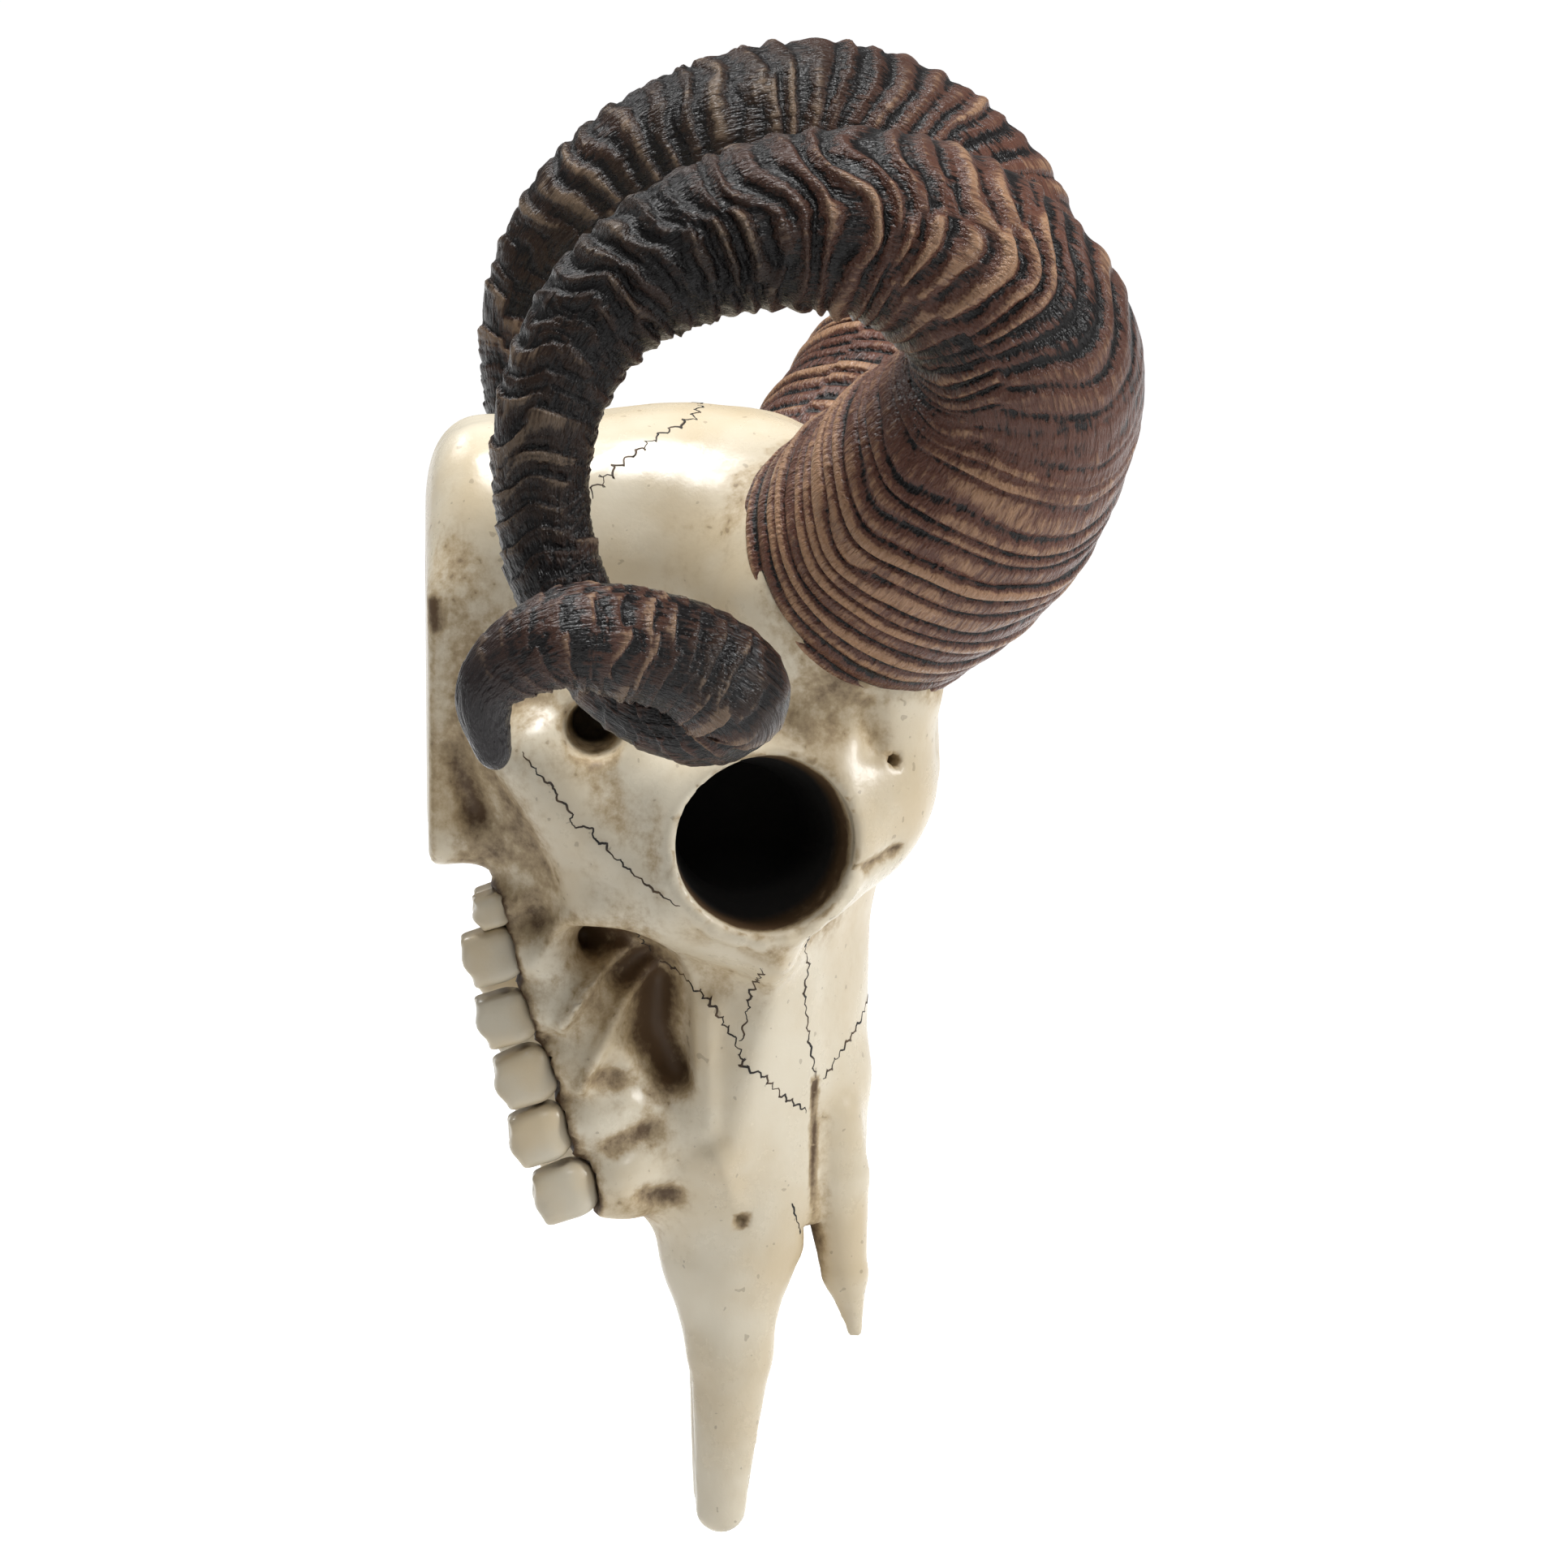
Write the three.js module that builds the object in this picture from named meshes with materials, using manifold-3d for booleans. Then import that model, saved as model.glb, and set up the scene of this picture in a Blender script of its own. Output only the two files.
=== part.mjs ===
// Ram-skull wall ornament: a life-size cast-resin skull with a flat back and a pair of ringed horns.
//
// Frame: millimetres, +Z up. The flat back lies in the plane y = 0 with the wall behind it at +Y, the
// face looks along -Y, and both sides of x = 0 are alike. The origin is on the flat back.
//
// The bone is described by distances: each form is a function that says how far a point is from its
// surface, negative inside. Forms flow into one another, and the zero surface of the whole is meshed.
// Sockets and pockets are then cut out of it, and thin cuts part it into its named bones. Places are
// written [side, fore, up]: out from the middle, forward from the wall, and up.

import * as THREE from 'three';
import { mergeVertices } from 'three/addons/utils/BufferGeometryUtils.js';
import { RoundedBoxGeometry } from 'three/addons/geometries/RoundedBoxGeometry.js';
import Module from 'manifold-3d';

// ---------------------------------------------------------------- driving dimensions

const GAP = 0.35; // between neighbouring pieces
// the spaces that the bone is meshed in, [side, fore, up], and the size of a mesh cell there
const HEAD_SPACE = { low: [-80, -18, -156], high: [80, 140, 80], cell: 9.6 };
const SNOUT_SPACE = { low: [-36, 42, -220], high: [36, 106, -122], cell: 5.4 };
const SIDES = [-1, 1]; // the animal's right side, then its left

const ORBIT = { centre: [57, 78, -34.2], radius: 21, floor: 15, depth: 38, fore: 8, up: 3 };
const EAR = { centre: [52, 38.6, -7.6], radius: 7.2, floor: 4, depth: 22, fore: 0, up: 4 };
const SOCKET_MOUTH = 30; // how far a socket's cutter goes on outside the bone
const SOCKET_SIDES = 24;

const TOOTH_LEAN = 17; // degrees that the crowns point down towards their biting edges
const TOOTH_SIDE = 29.5; // the tooth row, out from the middle
const TOOTH_BREADTH = 12.6;
const TOOTH_ROUND = 3.2;
// fore and up of each crown's biting edge, its height into the gum, and its width along the row
const TEETH = [
  [10.6, -55.2, 14, 8.6],
  [8.2, -67.2, 19, 13.2],
  [11.8, -82, 19, 13.2],
  [15.9, -96.2, 19, 13.4],
  [19.5, -110.2, 19, 13.4],
  [25.2, -124, 18, 13.4],
];

// the horn's middle line and half its thickness there, from the brow round the coil to the tip
const HORN = [
  [27, 100, 24, 34.5],
  [62, 123, 50, 35],
  [84, 136, 80, 28.5],
  [96, 125, 103, 25.5],
  [101, 99, 116, 23],
  [99, 68, 113, 19.5],
  [98, 41, 98, 15],
  [100, 27, 72, 12.3],
  [101, 28, 40, 11.2],
  [105, 42, 15, 12],
  [112, 59, 7, 13],
  [122, 68, 13, 13.6],
  [130, 53, 23, 13.6],
  [135, 30, 27, 12],
  [135, 13, 16, 7.5],
  [131, 15, -3, 3.5],
];
const HORN_JOINTS = [0.36, 0.66]; // where the lengths meet, as shares of the horn
const HORN_SECTION = 12; // sides of its section
const HORN_FULLNESS = 1 / Math.cos(Math.PI / HORN_SECTION); // the flats of its section lie on the round
const RING_COUNT = 24;
const RING_DEPTH = 0.06; // of a groove between two rings, as a share of the half thickness
const LIP = { length: 12, start: 0.72 }; // the horn's foot is drawn in like a rounded lip

const BONE = { color: 0xdacfb2, roughness: 0.42, metalness: 0 };
const KERATIN = { color: 0x5a4238, roughness: 0.55, metalness: 0 };

// ---------------------------------------------------------------- distances

const clamp01 = (v) => Math.min(Math.max(v, 0), 1);

/** Roughly the distance to an ellipsoid. */
function ball(p, centre, radii) {
  const near = Math.hypot(...p.map((v, i) => (v - centre[i]) / radii[i])) + 1e-9;
  const slope = Math.hypot(...p.map((v, i) => (v - centre[i]) / radii[i] ** 2)) + 1e-9;
  return (near * (near - 1)) / slope;
}

/** Distance to a round-ended rod whose radius changes along it; thin flattens it sideways. */
function rod(p, from, to, radiusFrom, radiusTo, thin = 1) {
  const run = to.map((v, i) => v - from[i]);
  const along = run.reduce((sum, v, i) => sum + v * (p[i] - from[i]), 0);
  const t = clamp01(along / run.reduce((sum, v) => sum + v * v, 0));
  const off = p.map((v, i) => v - from[i] - t * run[i]);
  const swollen = Math.hypot(off[0] * thin, off[1], off[2]);
  const slope = Math.hypot(off[0] * thin * thin, off[1], off[2]) / (swollen + 1e-9);
  return (swollen - radiusFrom - t * (radiusTo - radiusFrom)) / Math.max(slope, 1);
}

/** Distance to a box with rounded edges. */
function brick(p, centre, half, round) {
  const q = p.map((v, i) => Math.abs(v - centre[i]) - half[i] + round);
  const outside = Math.hypot(...q.map((v) => Math.max(v, 0)));
  return outside + Math.min(Math.max(...q), 0) - round;
}

/** Two forms flowing into one another over a width. */
function join(a, b, width) {
  const h = clamp01(0.5 + (0.5 * (b - a)) / width);
  return b + (a - b) * h - width * h * (1 - h);
}

/** A form with another carved out of it, its edge rounded over a width. */
const carve = (a, b, width) => -join(-a, b, width);

/** A soft ridge, or a furrow where the height is negative, between two [fore, up] places on the cheek. */
function stroke(p, from, to, width, height) {
  const run = [to[0] - from[0], to[1] - from[1]];
  const along = (p[1] - from[0]) * run[0] + (p[2] - from[1]) * run[1];
  const t = clamp01(along / (run[0] ** 2 + run[1] ** 2));
  const off = Math.hypot(p[1] - from[0] - t * run[0], p[2] - from[1] - t * run[1]);
  return height * Math.exp(-((off / width) ** 2));
}

// ---------------------------------------------------------------- forms of the bone

/** The braincase, with the block that meets the wall and the root of the skull below it. */
function braincase(p) {
  let d = brick(p, [0, 46, 10], [36.5, 60, 48.5], 32);
  d = join(d, ball(p, [0, 62, 22], [33, 46, 38]), 8);
  d = join(d, brick(p, [0, 0, -8], [36.5, 12, 35.5], 9), 10);
  d = join(d, brick(p, [0, 17, -27], [33, 12, 15], 8), 6);
  return join(d, rod(p, [0, 30, -20], [0, 42, -46], 26, 18), 12);
}

/** The forehead, with the two bosses that carry the horns. */
function forehead(p) {
  let d = ball(p, [0, 66, -24], [38, 46, 44]);
  d = join(d, brick(p, [0, 92, -8], [33, 29, 32], 18), 12);
  d = join(d, ball(p, [34, 98, -24], [18, 21, 24]), 10);
  d = join(d, ball(p, [34, 103, 1], [19, 18, 18]), 8);
  d = join(d, ball(p, [30, 98, 17], [27, 23, 26]), 8);
  return join(d, ball(p, [31, 86, 20], [27, 22, 28]), 8);
}

/** The bone round the orbit, and the arch that runs from it back towards the ear. */
function cheek(p) {
  let d = ball(p, [45, 76, -34], [21, 26.5, 27.5]);
  d = join(d, rod(p, [46, 24, -14], [51, 56, -47], 8, 7.5), 8);
  d = join(d, rod(p, [36, 36, 2], [46, 52, -20], 13, 11), 11);
  d = join(d, rod(p, [45, 27, -16], [43, 40, -49], 8.5, 7.5), 7);
  d = join(d, rod(p, [27, 27, -42], [29.5, 31, -62], 8.5, 7.5), 6);
  d = join(d, rod(p, [31, 20, -18], [31, 36, -48], 8, 8), 8);
  return join(d, rod(p, [44, 48, -49.5], [45, 78, -58.5], 8, 7), 8);
}

/** The muzzle: the bridge, the jaw above the teeth, and the two prongs at its end. */
function muzzle(p) {
  let d = rod(p, [0, 85, -40], [0, 91.5, -100], 21, 13.5);
  d = join(d, rod(p, [0, 91.5, -100], [0, 92, -130], 13.5, 12.8), 4);
  d = join(d, rod(p, [17, 74, -58], [12, 74, -124], 22, 15), 14);
  d = join(d, rod(p, [19, 46, -52], [14, 56, -114], 21, 17), 12);
  d = join(d, rod(p, [27.5, 30, -58], [26, 46, -121], 9, 8.5), 8);
  return join(d, prong(p), 7);
}

/** One of the two flat prongs that the muzzle ends in. */
function prong(p) {
  let d = rod(p, [13, 70.5, -118], [12.5, 71, -141], 20, 16, 1.45);
  d = join(d, rod(p, [12.5, 71, -141], [12, 71.6, -165], 16, 9.8, 1.55), 3);
  return join(d, rod(p, [12, 71.6, -165], [9, 69.5, -205.2], 9.8, 6, 1.45), 3);
}

/** Height of the ridges and hollows on the side of the skull. */
function relief(p) {
  const crest = stroke(p, [82, -66], [71, -114], 6, 3);
  const hollow = stroke(p, [44, -64], [52, -76], 8, -4.5) + stroke(p, [54, -80], [55.5, -93], 7, -6);
  const temple = stroke(p, [30, 10], [66, 9], 9, -3.5);
  const onTheSide = clamp01((p[0] - 8) / 16);
  return (crest + hollow + temple) * onTheSide;
}

/** The whole bone, flat where it meets the wall and rounded over its upper edge. */
function bone(place) {
  const p = [Math.abs(place[0]), place[1], place[2]];
  let d = join(braincase(p), forehead(p), 14);
  d = join(d, cheek(p), 14);
  d = join(d, muzzle(p), 12);
  d -= relief(p);
  d = carve(d, rod(p, [0, 12, -70], [0, 32, -118], 18, 14), 6); // the palate between the tooth rows
  d = carve(d, rod(p, [0, 6, -52], [0, 20, -62], 14, 15), 5);
  const round = 3 + 9 * clamp01((p[2] - 16) / 28);
  return -join(-d, p[1] + GAP, round);
}

// ---------------------------------------------------------------- solids

const wasm = await Module();
wasm.setup();

/** A closed three.js geometry as a solid. */
function solid(geometry) {
  const bare = geometry.clone();
  bare.deleteAttribute('normal');
  bare.deleteAttribute('uv');
  const merged = mergeVertices(bare, 1e-4);
  const vertProperties = merged.attributes.position.array;
  return new wasm.Manifold(
    new wasm.Mesh({ numProp: 3, vertProperties, triVerts: new Uint32Array(merged.index.array) }),
  );
}

/** A solid as a three.js geometry. */
function geometryOf(piece) {
  const { numProp, vertProperties, triVerts } = piece.getMesh();
  const position = new Float32Array((vertProperties.length / numProp) * 3);
  for (let i = 0; i < position.length; i++) {
    position[i] = vertProperties[Math.floor(i / 3) * numProp + (i % 3)];
  }
  const geometry = new THREE.BufferGeometry();
  geometry.setAttribute('position', new THREE.BufferAttribute(position, 3));
  geometry.setIndex(new THREE.BufferAttribute(triVerts, 1));
  geometry.computeVertexNormals();
  return geometry;
}

/** The largest body of a solid, without the slivers that a cut can leave. */
function largest(piece) {
  return piece.decompose().reduce((a, b) => (b.volume() > a.volume() ? b : a));
}

/** World position of a [side, fore, up] place. */
const world = ([side, fore, up]) => new THREE.Vector3(side, -fore, up);

/** A mesh from its vertices and triangles. */
function indexed(vertices, triangles) {
  const geometry = new THREE.BufferGeometry();
  geometry.setAttribute('position', new THREE.Float32BufferAttribute(vertices, 3));
  geometry.setIndex(triangles);
  return geometry;
}

/**
 * The zero surface of a distance as a mesh: one vertex in each cell of a grid that the surface crosses,
 * at the middle of the crossings on the cell's edges, slid onto the surface, and one quad across each
 * edge of the grid that the surface cuts. The surface is closed one cell inside the space's walls.
 */
function surfaceMesh(form, { low, high, cell: size }) {
  const walls = (p) => Math.max(...p.map((v, i) => Math.max(low[i] + size - v, v - high[i] + size)));
  const distance = (p) => Math.max(form(p), walls(p));
  const count = low.map((v, i) => Math.ceil((high[i] - v) / size) + 1);
  const step = low.map((v, i) => (high[i] - v) / (count[i] - 1));
  const at = (cell) => cell.map((n, i) => low[i] + n * step[i]);
  const slot = (cell) => (cell[0] * count[1] + cell[1]) * count[2] + cell[2];
  const values = new Float64Array(count[0] * count[1] * count[2]);
  const cells = [];
  for (let i = 0; i < count[0]; i++) {
    for (let j = 0; j < count[1]; j++) {
      for (let k = 0; k < count[2]; k++) {
        cells.push([i, j, k]);
        values[slot([i, j, k])] = distance(at([i, j, k]));
      }
    }
  }

  const corners = [0, 1, 2, 3, 4, 5, 6, 7].map((n) => [n & 1, (n >> 1) & 1, (n >> 2) & 1]);
  const plus = (a, b) => a.map((v, i) => v + b[i]);
  const vertices = [];
  const vertexOf = new Map();
  for (const cell of cells) {
    if (cell.some((n, i) => n === count[i] - 1)) continue;
    const crossings = [];
    for (const corner of corners) {
      for (const axis of [0, 1, 2]) {
        if (corner[axis]) continue;
        const from = plus(cell, corner);
        const to = from.map((n, i) => n + (i === axis ? 1 : 0));
        const [a, b] = [values[slot(from)], values[slot(to)]];
        if (a < 0 === b < 0) continue;
        crossings.push(from.map((n, i) => n + (i === axis ? a / (a - b) : 0)));
      }
    }
    if (!crossings.length) continue;
    const middle = [0, 1, 2].map((i) => crossings.reduce((sum, c) => sum + c[i], 0) / crossings.length);
    vertexOf.set(slot(cell), vertices.length / 3);
    vertices.push(...world(slide(distance, at(middle))).toArray());
  }

  const triangles = [];
  for (const cell of cells) {
    for (const axis of [0, 1, 2]) {
      const next = cell.map((n, i) => n + (i === axis ? 1 : 0));
      const [u, v] = [(axis + 1) % 3, (axis + 2) % 3];
      if (next[axis] >= count[axis] || !cell[u] || !cell[v]) continue;
      const [a, b] = [values[slot(cell)], values[slot(next)]];
      if (a < 0 === b < 0) continue;
      const back = (du, dv) => vertexOf.get(slot(cell.map((n, i) => n - (i === u ? du : i === v ? dv : 0))));
      const quad = [back(1, 1), back(0, 1), back(0, 0), back(1, 0)];
      if (a < 0) quad.reverse();
      triangles.push(quad[0], quad[1], quad[2], quad[0], quad[2], quad[3]);
    }
  }
  return indexed(vertices, triangles);
}

/** A place moved along the distance's slope onto its zero surface. */
function slide(distance, place) {
  const reach = 0.5;
  let p = place;
  for (let n = 0; n < 2; n++) {
    const slope = p.map((v, i) => {
      const beyond = distance(p.map((w, k) => w + (k === i ? reach : 0)));
      const before = distance(p.map((w, k) => w - (k === i ? reach : 0)));
      return (beyond - before) / (2 * reach);
    });
    const far = distance(p) / Math.max(slope.reduce((sum, v) => sum + v * v, 0), 0.25);
    p = p.map((v, i) => v - far * slope[i]);
  }
  return p;
}

/** A slab with a [fore, up] outline, from one side position to another, in world space. */
function slab(outline, fromSide, toSide) {
  const shape = new THREE.Shape(outline.map(([fore, up]) => new THREE.Vector2(fore, up)));
  const geometry = new THREE.ExtrudeGeometry(shape, { depth: toSide - fromSide, bevelEnabled: false });
  const turn = new THREE.Matrix4().makeBasis(
    new THREE.Vector3(0, -1, 0),
    new THREE.Vector3(0, 0, 1),
    new THREE.Vector3(-1, 0, 0),
  );
  geometry.applyMatrix4(turn.setPosition(toSide, 0, 0));
  return solid(geometry);
}

/** An outline with every edge moved outwards. */
function outset(outline, distance) {
  const n = outline.length;
  return outline.map((corner, i) => {
    const before = outline[(i + n - 1) % n];
    const after = outline[(i + 1) % n];
    const outward = (a, b) => new THREE.Vector2(b[1] - a[1], a[0] - b[0]).normalize();
    const [m, k] = [outward(before, corner), outward(corner, after)];
    const bisector = m.clone().add(k).normalize();
    const move = distance / bisector.dot(k);
    return [corner[0] + bisector.x * move, corner[1] + bisector.y * move];
  });
}

/** The round shaft of a socket, from outside the bone to its floor. */
function shaft({ centre, radius, floor, depth, fore, up }, side) {
  const [turn, lift] = [fore, up].map(THREE.MathUtils.degToRad);
  const out = [Math.cos(turn) * Math.cos(lift), Math.sin(turn) * Math.cos(lift), Math.sin(lift)];
  const axis = world([side * out[0], out[1], out[2]]);
  const flare = ((radius - floor) / depth) * SOCKET_MOUTH;
  const geometry = new THREE.CylinderGeometry(radius + flare, floor, depth + SOCKET_MOUTH, SOCKET_SIDES);
  const middle = world([side * centre[0], centre[1], centre[2]]);
  middle.addScaledVector(axis, (SOCKET_MOUTH - depth) / 2);
  const turnTo = new THREE.Quaternion().setFromUnitVectors(new THREE.Vector3(0, 1, 0), axis);
  geometry.applyQuaternion(turnTo).translate(...middle.toArray());
  return solid(geometry);
}

// ---------------------------------------------------------------- tubes

/**
 * A closed tube through rings, each with a centre and a radius. The section starts at the direction
 * nearest to a reference and is carried along without twisting.
 */
function tube(rings, sides, reference) {
  const vertices = [];
  const triangles = [];
  const across = reference.clone();
  rings.forEach(({ centre, tangent, radius }) => {
    across.addScaledVector(tangent, -across.dot(tangent)).normalize();
    const beside = tangent.clone().cross(across);
    for (let j = 0; j < sides; j++) {
      const angle = (2 * Math.PI * j) / sides;
      const point = centre.clone().addScaledVector(across, radius * Math.cos(angle));
      vertices.push(...point.addScaledVector(beside, radius * Math.sin(angle)).toArray());
    }
  });
  for (let i = 0; i + 1 < rings.length; i++) {
    for (let j = 0; j < sides; j++) {
      const [a, b] = [i * sides + j, i * sides + ((j + 1) % sides)];
      triangles.push(a, b, b + sides, a, b + sides, a + sides);
    }
  }
  const last = (rings.length - 1) * sides;
  const centres = vertices.length / 3;
  vertices.push(...rings[0].centre.toArray(), ...rings[rings.length - 1].centre.toArray());
  for (let j = 0; j < sides; j++) {
    const k = (j + 1) % sides;
    triangles.push(centres, k, j, centres + 1, last + j, last + k);
  }
  return solid(indexed(vertices, triangles));
}

// ---------------------------------------------------------------- horns

const hornLine = (side) =>
  new THREE.CatmullRomCurve3(
    HORN.map(([out, fore, up]) => world([side * out, fore, up])),
    false,
    'catmullrom',
  );
const hornGirth = new THREE.CatmullRomCurve3(
  HORN.map((station) => new THREE.Vector3(station[3], 0, 0)),
  false,
  'catmullrom',
);

/** A length of horn between two shares of it, with a crest and a groove for each ring; grown if asked. */
function hornLength(side, from, to, grow = 0) {
  const line = hornLine(side);
  const total = line.getLength();
  const first = Math.round(from * 2 * RING_COUNT);
  const last = Math.round(to * 2 * RING_COUNT);
  const end = last === 2 * RING_COUNT ? 1 : last / (2 * RING_COUNT) - GAP / total;
  const rings = [];
  for (let n = first; n <= last; n++) {
    const share = n === last ? end : n / (2 * RING_COUNT);
    const t = line.getUtoTmapping(share);
    const lip = LIP.start + (1 - LIP.start) * Math.sqrt(clamp01((share * total) / LIP.length));
    const groove = n % 2 ? 0 : RING_DEPTH;
    const radius = hornGirth.getPoint(t).x * HORN_FULLNESS * lip * (1 - groove) + grow;
    const tangent = line.getTangent(t);
    const centre = line.getPoint(t).addScaledVector(tangent, n === first ? -grow : 0);
    rings.push({ centre, tangent, radius });
  }
  return tube(rings, HORN_SECTION, new THREE.Vector3(side, 0, 0));
}

// ---------------------------------------------------------------- nasal bones

// the free end of a nasal bone: its middle line and radius, down to the point
const NASAL_POINT = [
  [7.4, 94.8, -108, 8.6],
  [7.6, 96.6, -124, 8.4],
  [7.4, 97.8, -136, 7.4],
  [7.2, 99.4, -148, 5.2],
  [7, 101, -158, 2.8],
  [6.8, 101.6, -163, 1],
];

/** The pointed lower end of the long bone on one side of the nose bridge. */
function nasalPoint(side) {
  const rings = NASAL_POINT.map(([out, fore, up, radius], i) => {
    const before = NASAL_POINT[Math.max(i - 1, 0)];
    const after = NASAL_POINT[Math.min(i + 1, NASAL_POINT.length - 1)];
    const tangent = world(after.map((v, k) => v - before[k]).slice(0, 3));
    tangent.x *= side;
    return { centre: world([side * out, fore, up]), tangent: tangent.normalize(), radius };
  });
  return tube(rings, NASAL_SECTION, new THREE.Vector3(0, -1, 0));
}

// ---------------------------------------------------------------- teeth

/** One crown: a rounded block that leans down towards its biting edge. */
function tooth(side, [fore, up, height, width]) {
  const geometry = new RoundedBoxGeometry(TOOTH_BREADTH, height, width, 1, TOOTH_ROUND);
  geometry.translate(0, -height / 2, 0);
  geometry.rotateX(THREE.MathUtils.degToRad(-TOOTH_LEAN));
  geometry.translate(side * TOOTH_SIDE, -fore, up);
  return solid(geometry);
}

// ---------------------------------------------------------------- the bone, parted

// [fore, up] outlines of the bones that are parted from the rest, and how far out they reach
const BRAINCASE = [
  [-5, -60],
  [26, -60],
  [44, -26],
  [48, 16],
  [62, 90],
  [-5, 90],
];
const CHEEK = [
  [34, -46],
  [60, -66],
  [94, -64],
  [112, -36],
  [98, -8],
  [46, -6],
];
const NASAL = [
  [90.8, -170],
  [140, -170],
  [140, -82],
  [102, -86],
  [90.8, -99],
];
const NASAL_WIDTH = 17.5;
const NASAL_SECTION = 12; // sides of the section of its free end
const JAW = [
  [0, -160],
  [140, -160],
  [140, -64],
  [60, -62],
  [34, -46],
  [0, -46],
];
const PRONGS_FROM = -138; // the height below which the muzzle is two prongs
const PRONG = [
  [40, -240],
  [110, -240],
  [110, PRONGS_FROM],
  [40, PRONGS_FROM],
];
const CHEEK_FROM = 33;
const PRONG_INSIDE = 3.2; // half the gap between the prongs
const BEYOND = 90; // a place past the whole bone on either side
const MUZZLE_HALF = 40; // a place past the muzzle on either side
const NOSE_HOLE = { radius: 10, sides: 12, top: [0, 84, -112], bottom: [0, 79, -196] };
const NOSE_FRONT = [
  [88, -240],
  [130, -240],
  [130, -135.5],
  [90.5, -135.5],
];

/** The opening below the nasal bones, between the prongs. */
function noseOpening() {
  const [top, bottom] = [world(NOSE_HOLE.top), world(NOSE_HOLE.bottom)];
  const tangent = bottom.clone().sub(top).normalize();
  const radius = NOSE_HOLE.radius;
  const channel = tube(
    [top, bottom].map((centre) => ({ centre, tangent, radius })),
    NOSE_HOLE.sides,
    new THREE.Vector3(1, 0, 0),
  );
  return channel.add(slab(NOSE_FRONT, -MUZZLE_HALF, MUZZLE_HALF));
}

/** Takes what lies in a slab off the stock: the piece, and the stock left with a thin gap beside it. */
function part(stock, outline, fromSide, toSide) {
  const piece = stock.intersect(slab(outline, fromSide, toSide));
  const cutter = slab(outset(outline, GAP), fromSide - GAP, toSide + GAP);
  return [largest(piece), stock.subtract(cutter)];
}

const model = new THREE.Group();

/** Puts a solid into the model as a named piece of a material. */
function add(name, piece, finish) {
  const mesh = new THREE.Mesh(geometryOf(piece), new THREE.MeshStandardMaterial(finish));
  mesh.name = name;
  model.add(mesh);
}

const sideName = (side) => (side < 0 ? 'right' : 'left');

/** The side positions from one distance out to another, on one side. */
const reachOn = (side, from, to) => (side < 0 ? [-to, -from] : [from, to]);

const HEAD = [
  [0, PRONGS_FROM + GAP],
  [150, PRONGS_FROM + GAP],
  [150, 90],
  [0, 90],
];
const opening = noseOpening();
const snout = solid(surfaceMesh(bone, SNOUT_SPACE)).subtract(opening);
let stock = solid(surfaceMesh(bone, HEAD_SPACE)).intersect(slab(HEAD, -BEYOND, BEYOND)).subtract(opening);
for (const side of SIDES) {
  stock = stock.subtract(shaft(ORBIT, side)).subtract(shaft(EAR, side));
  stock = stock.subtract(hornLength(side, 0, HORN_JOINTS[0], GAP));
}

for (const side of SIDES) {
  const name = sideName(side);
  const reach = (from, to) => reachOn(side, from, to);
  let piece;
  [piece, stock] = part(stock, NASAL, ...reach(GAP / 2, NASAL_WIDTH));
  const point = nasalPoint(side).intersect(slab(NASAL, ...reach(GAP / 2, NASAL_WIDTH)));
  add(`nasal_bone_${name}`, piece.add(point), BONE);
  const prongSlab = slab(PRONG, ...reach(PRONG_INSIDE, MUZZLE_HALF));
  add(`premaxilla_${name}`, largest(snout.intersect(prongSlab)), BONE);
  [piece, stock] = part(stock, CHEEK, ...reach(CHEEK_FROM, BEYOND));
  add(`cheekbone_${name}`, piece, BONE);
  [piece, stock] = part(stock, JAW, ...reach(0, BEYOND));
  const teeth = TEETH.map((crown) => tooth(side, crown));
  add(`upper_jaw_${name}`, teeth.reduce((jaw, crown) => jaw.add(crown), piece), BONE);
  add(`horn_${name}_base`, hornLength(side, 0, HORN_JOINTS[0]), KERATIN);
  add(`horn_${name}_bow`, hornLength(side, ...HORN_JOINTS), KERATIN);
  add(`horn_${name}_tip`, hornLength(side, HORN_JOINTS[1], 1), KERATIN);
}

const [vault, front] = part(stock, BRAINCASE, -BEYOND, BEYOND);
add('braincase', vault, BONE);
for (const side of SIDES) {
  const half = front.intersect(slab(HEAD, ...reachOn(side, GAP / 2, BEYOND)));
  add(`frontal_bone_${sideName(side)}`, largest(half), BONE);
}

export default model;
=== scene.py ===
import math
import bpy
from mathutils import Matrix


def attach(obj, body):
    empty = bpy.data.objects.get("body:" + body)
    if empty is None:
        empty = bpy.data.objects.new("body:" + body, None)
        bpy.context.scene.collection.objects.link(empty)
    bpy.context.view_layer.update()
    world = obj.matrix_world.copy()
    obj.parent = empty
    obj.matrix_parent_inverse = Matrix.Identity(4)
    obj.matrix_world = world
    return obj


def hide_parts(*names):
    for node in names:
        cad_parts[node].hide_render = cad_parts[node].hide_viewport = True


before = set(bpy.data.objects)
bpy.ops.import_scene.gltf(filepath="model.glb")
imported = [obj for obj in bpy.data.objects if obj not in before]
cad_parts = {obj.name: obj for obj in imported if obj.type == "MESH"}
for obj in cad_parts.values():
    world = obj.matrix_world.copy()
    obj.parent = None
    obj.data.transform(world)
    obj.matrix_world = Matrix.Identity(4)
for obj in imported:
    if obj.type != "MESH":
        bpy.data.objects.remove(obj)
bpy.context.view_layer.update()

from types import SimpleNamespace
from typing import NamedTuple

import bpy
import numpy as np
from bpy.props import FloatProperty, FloatVectorProperty, IntProperty, PointerProperty
from mathutils import Vector

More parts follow.
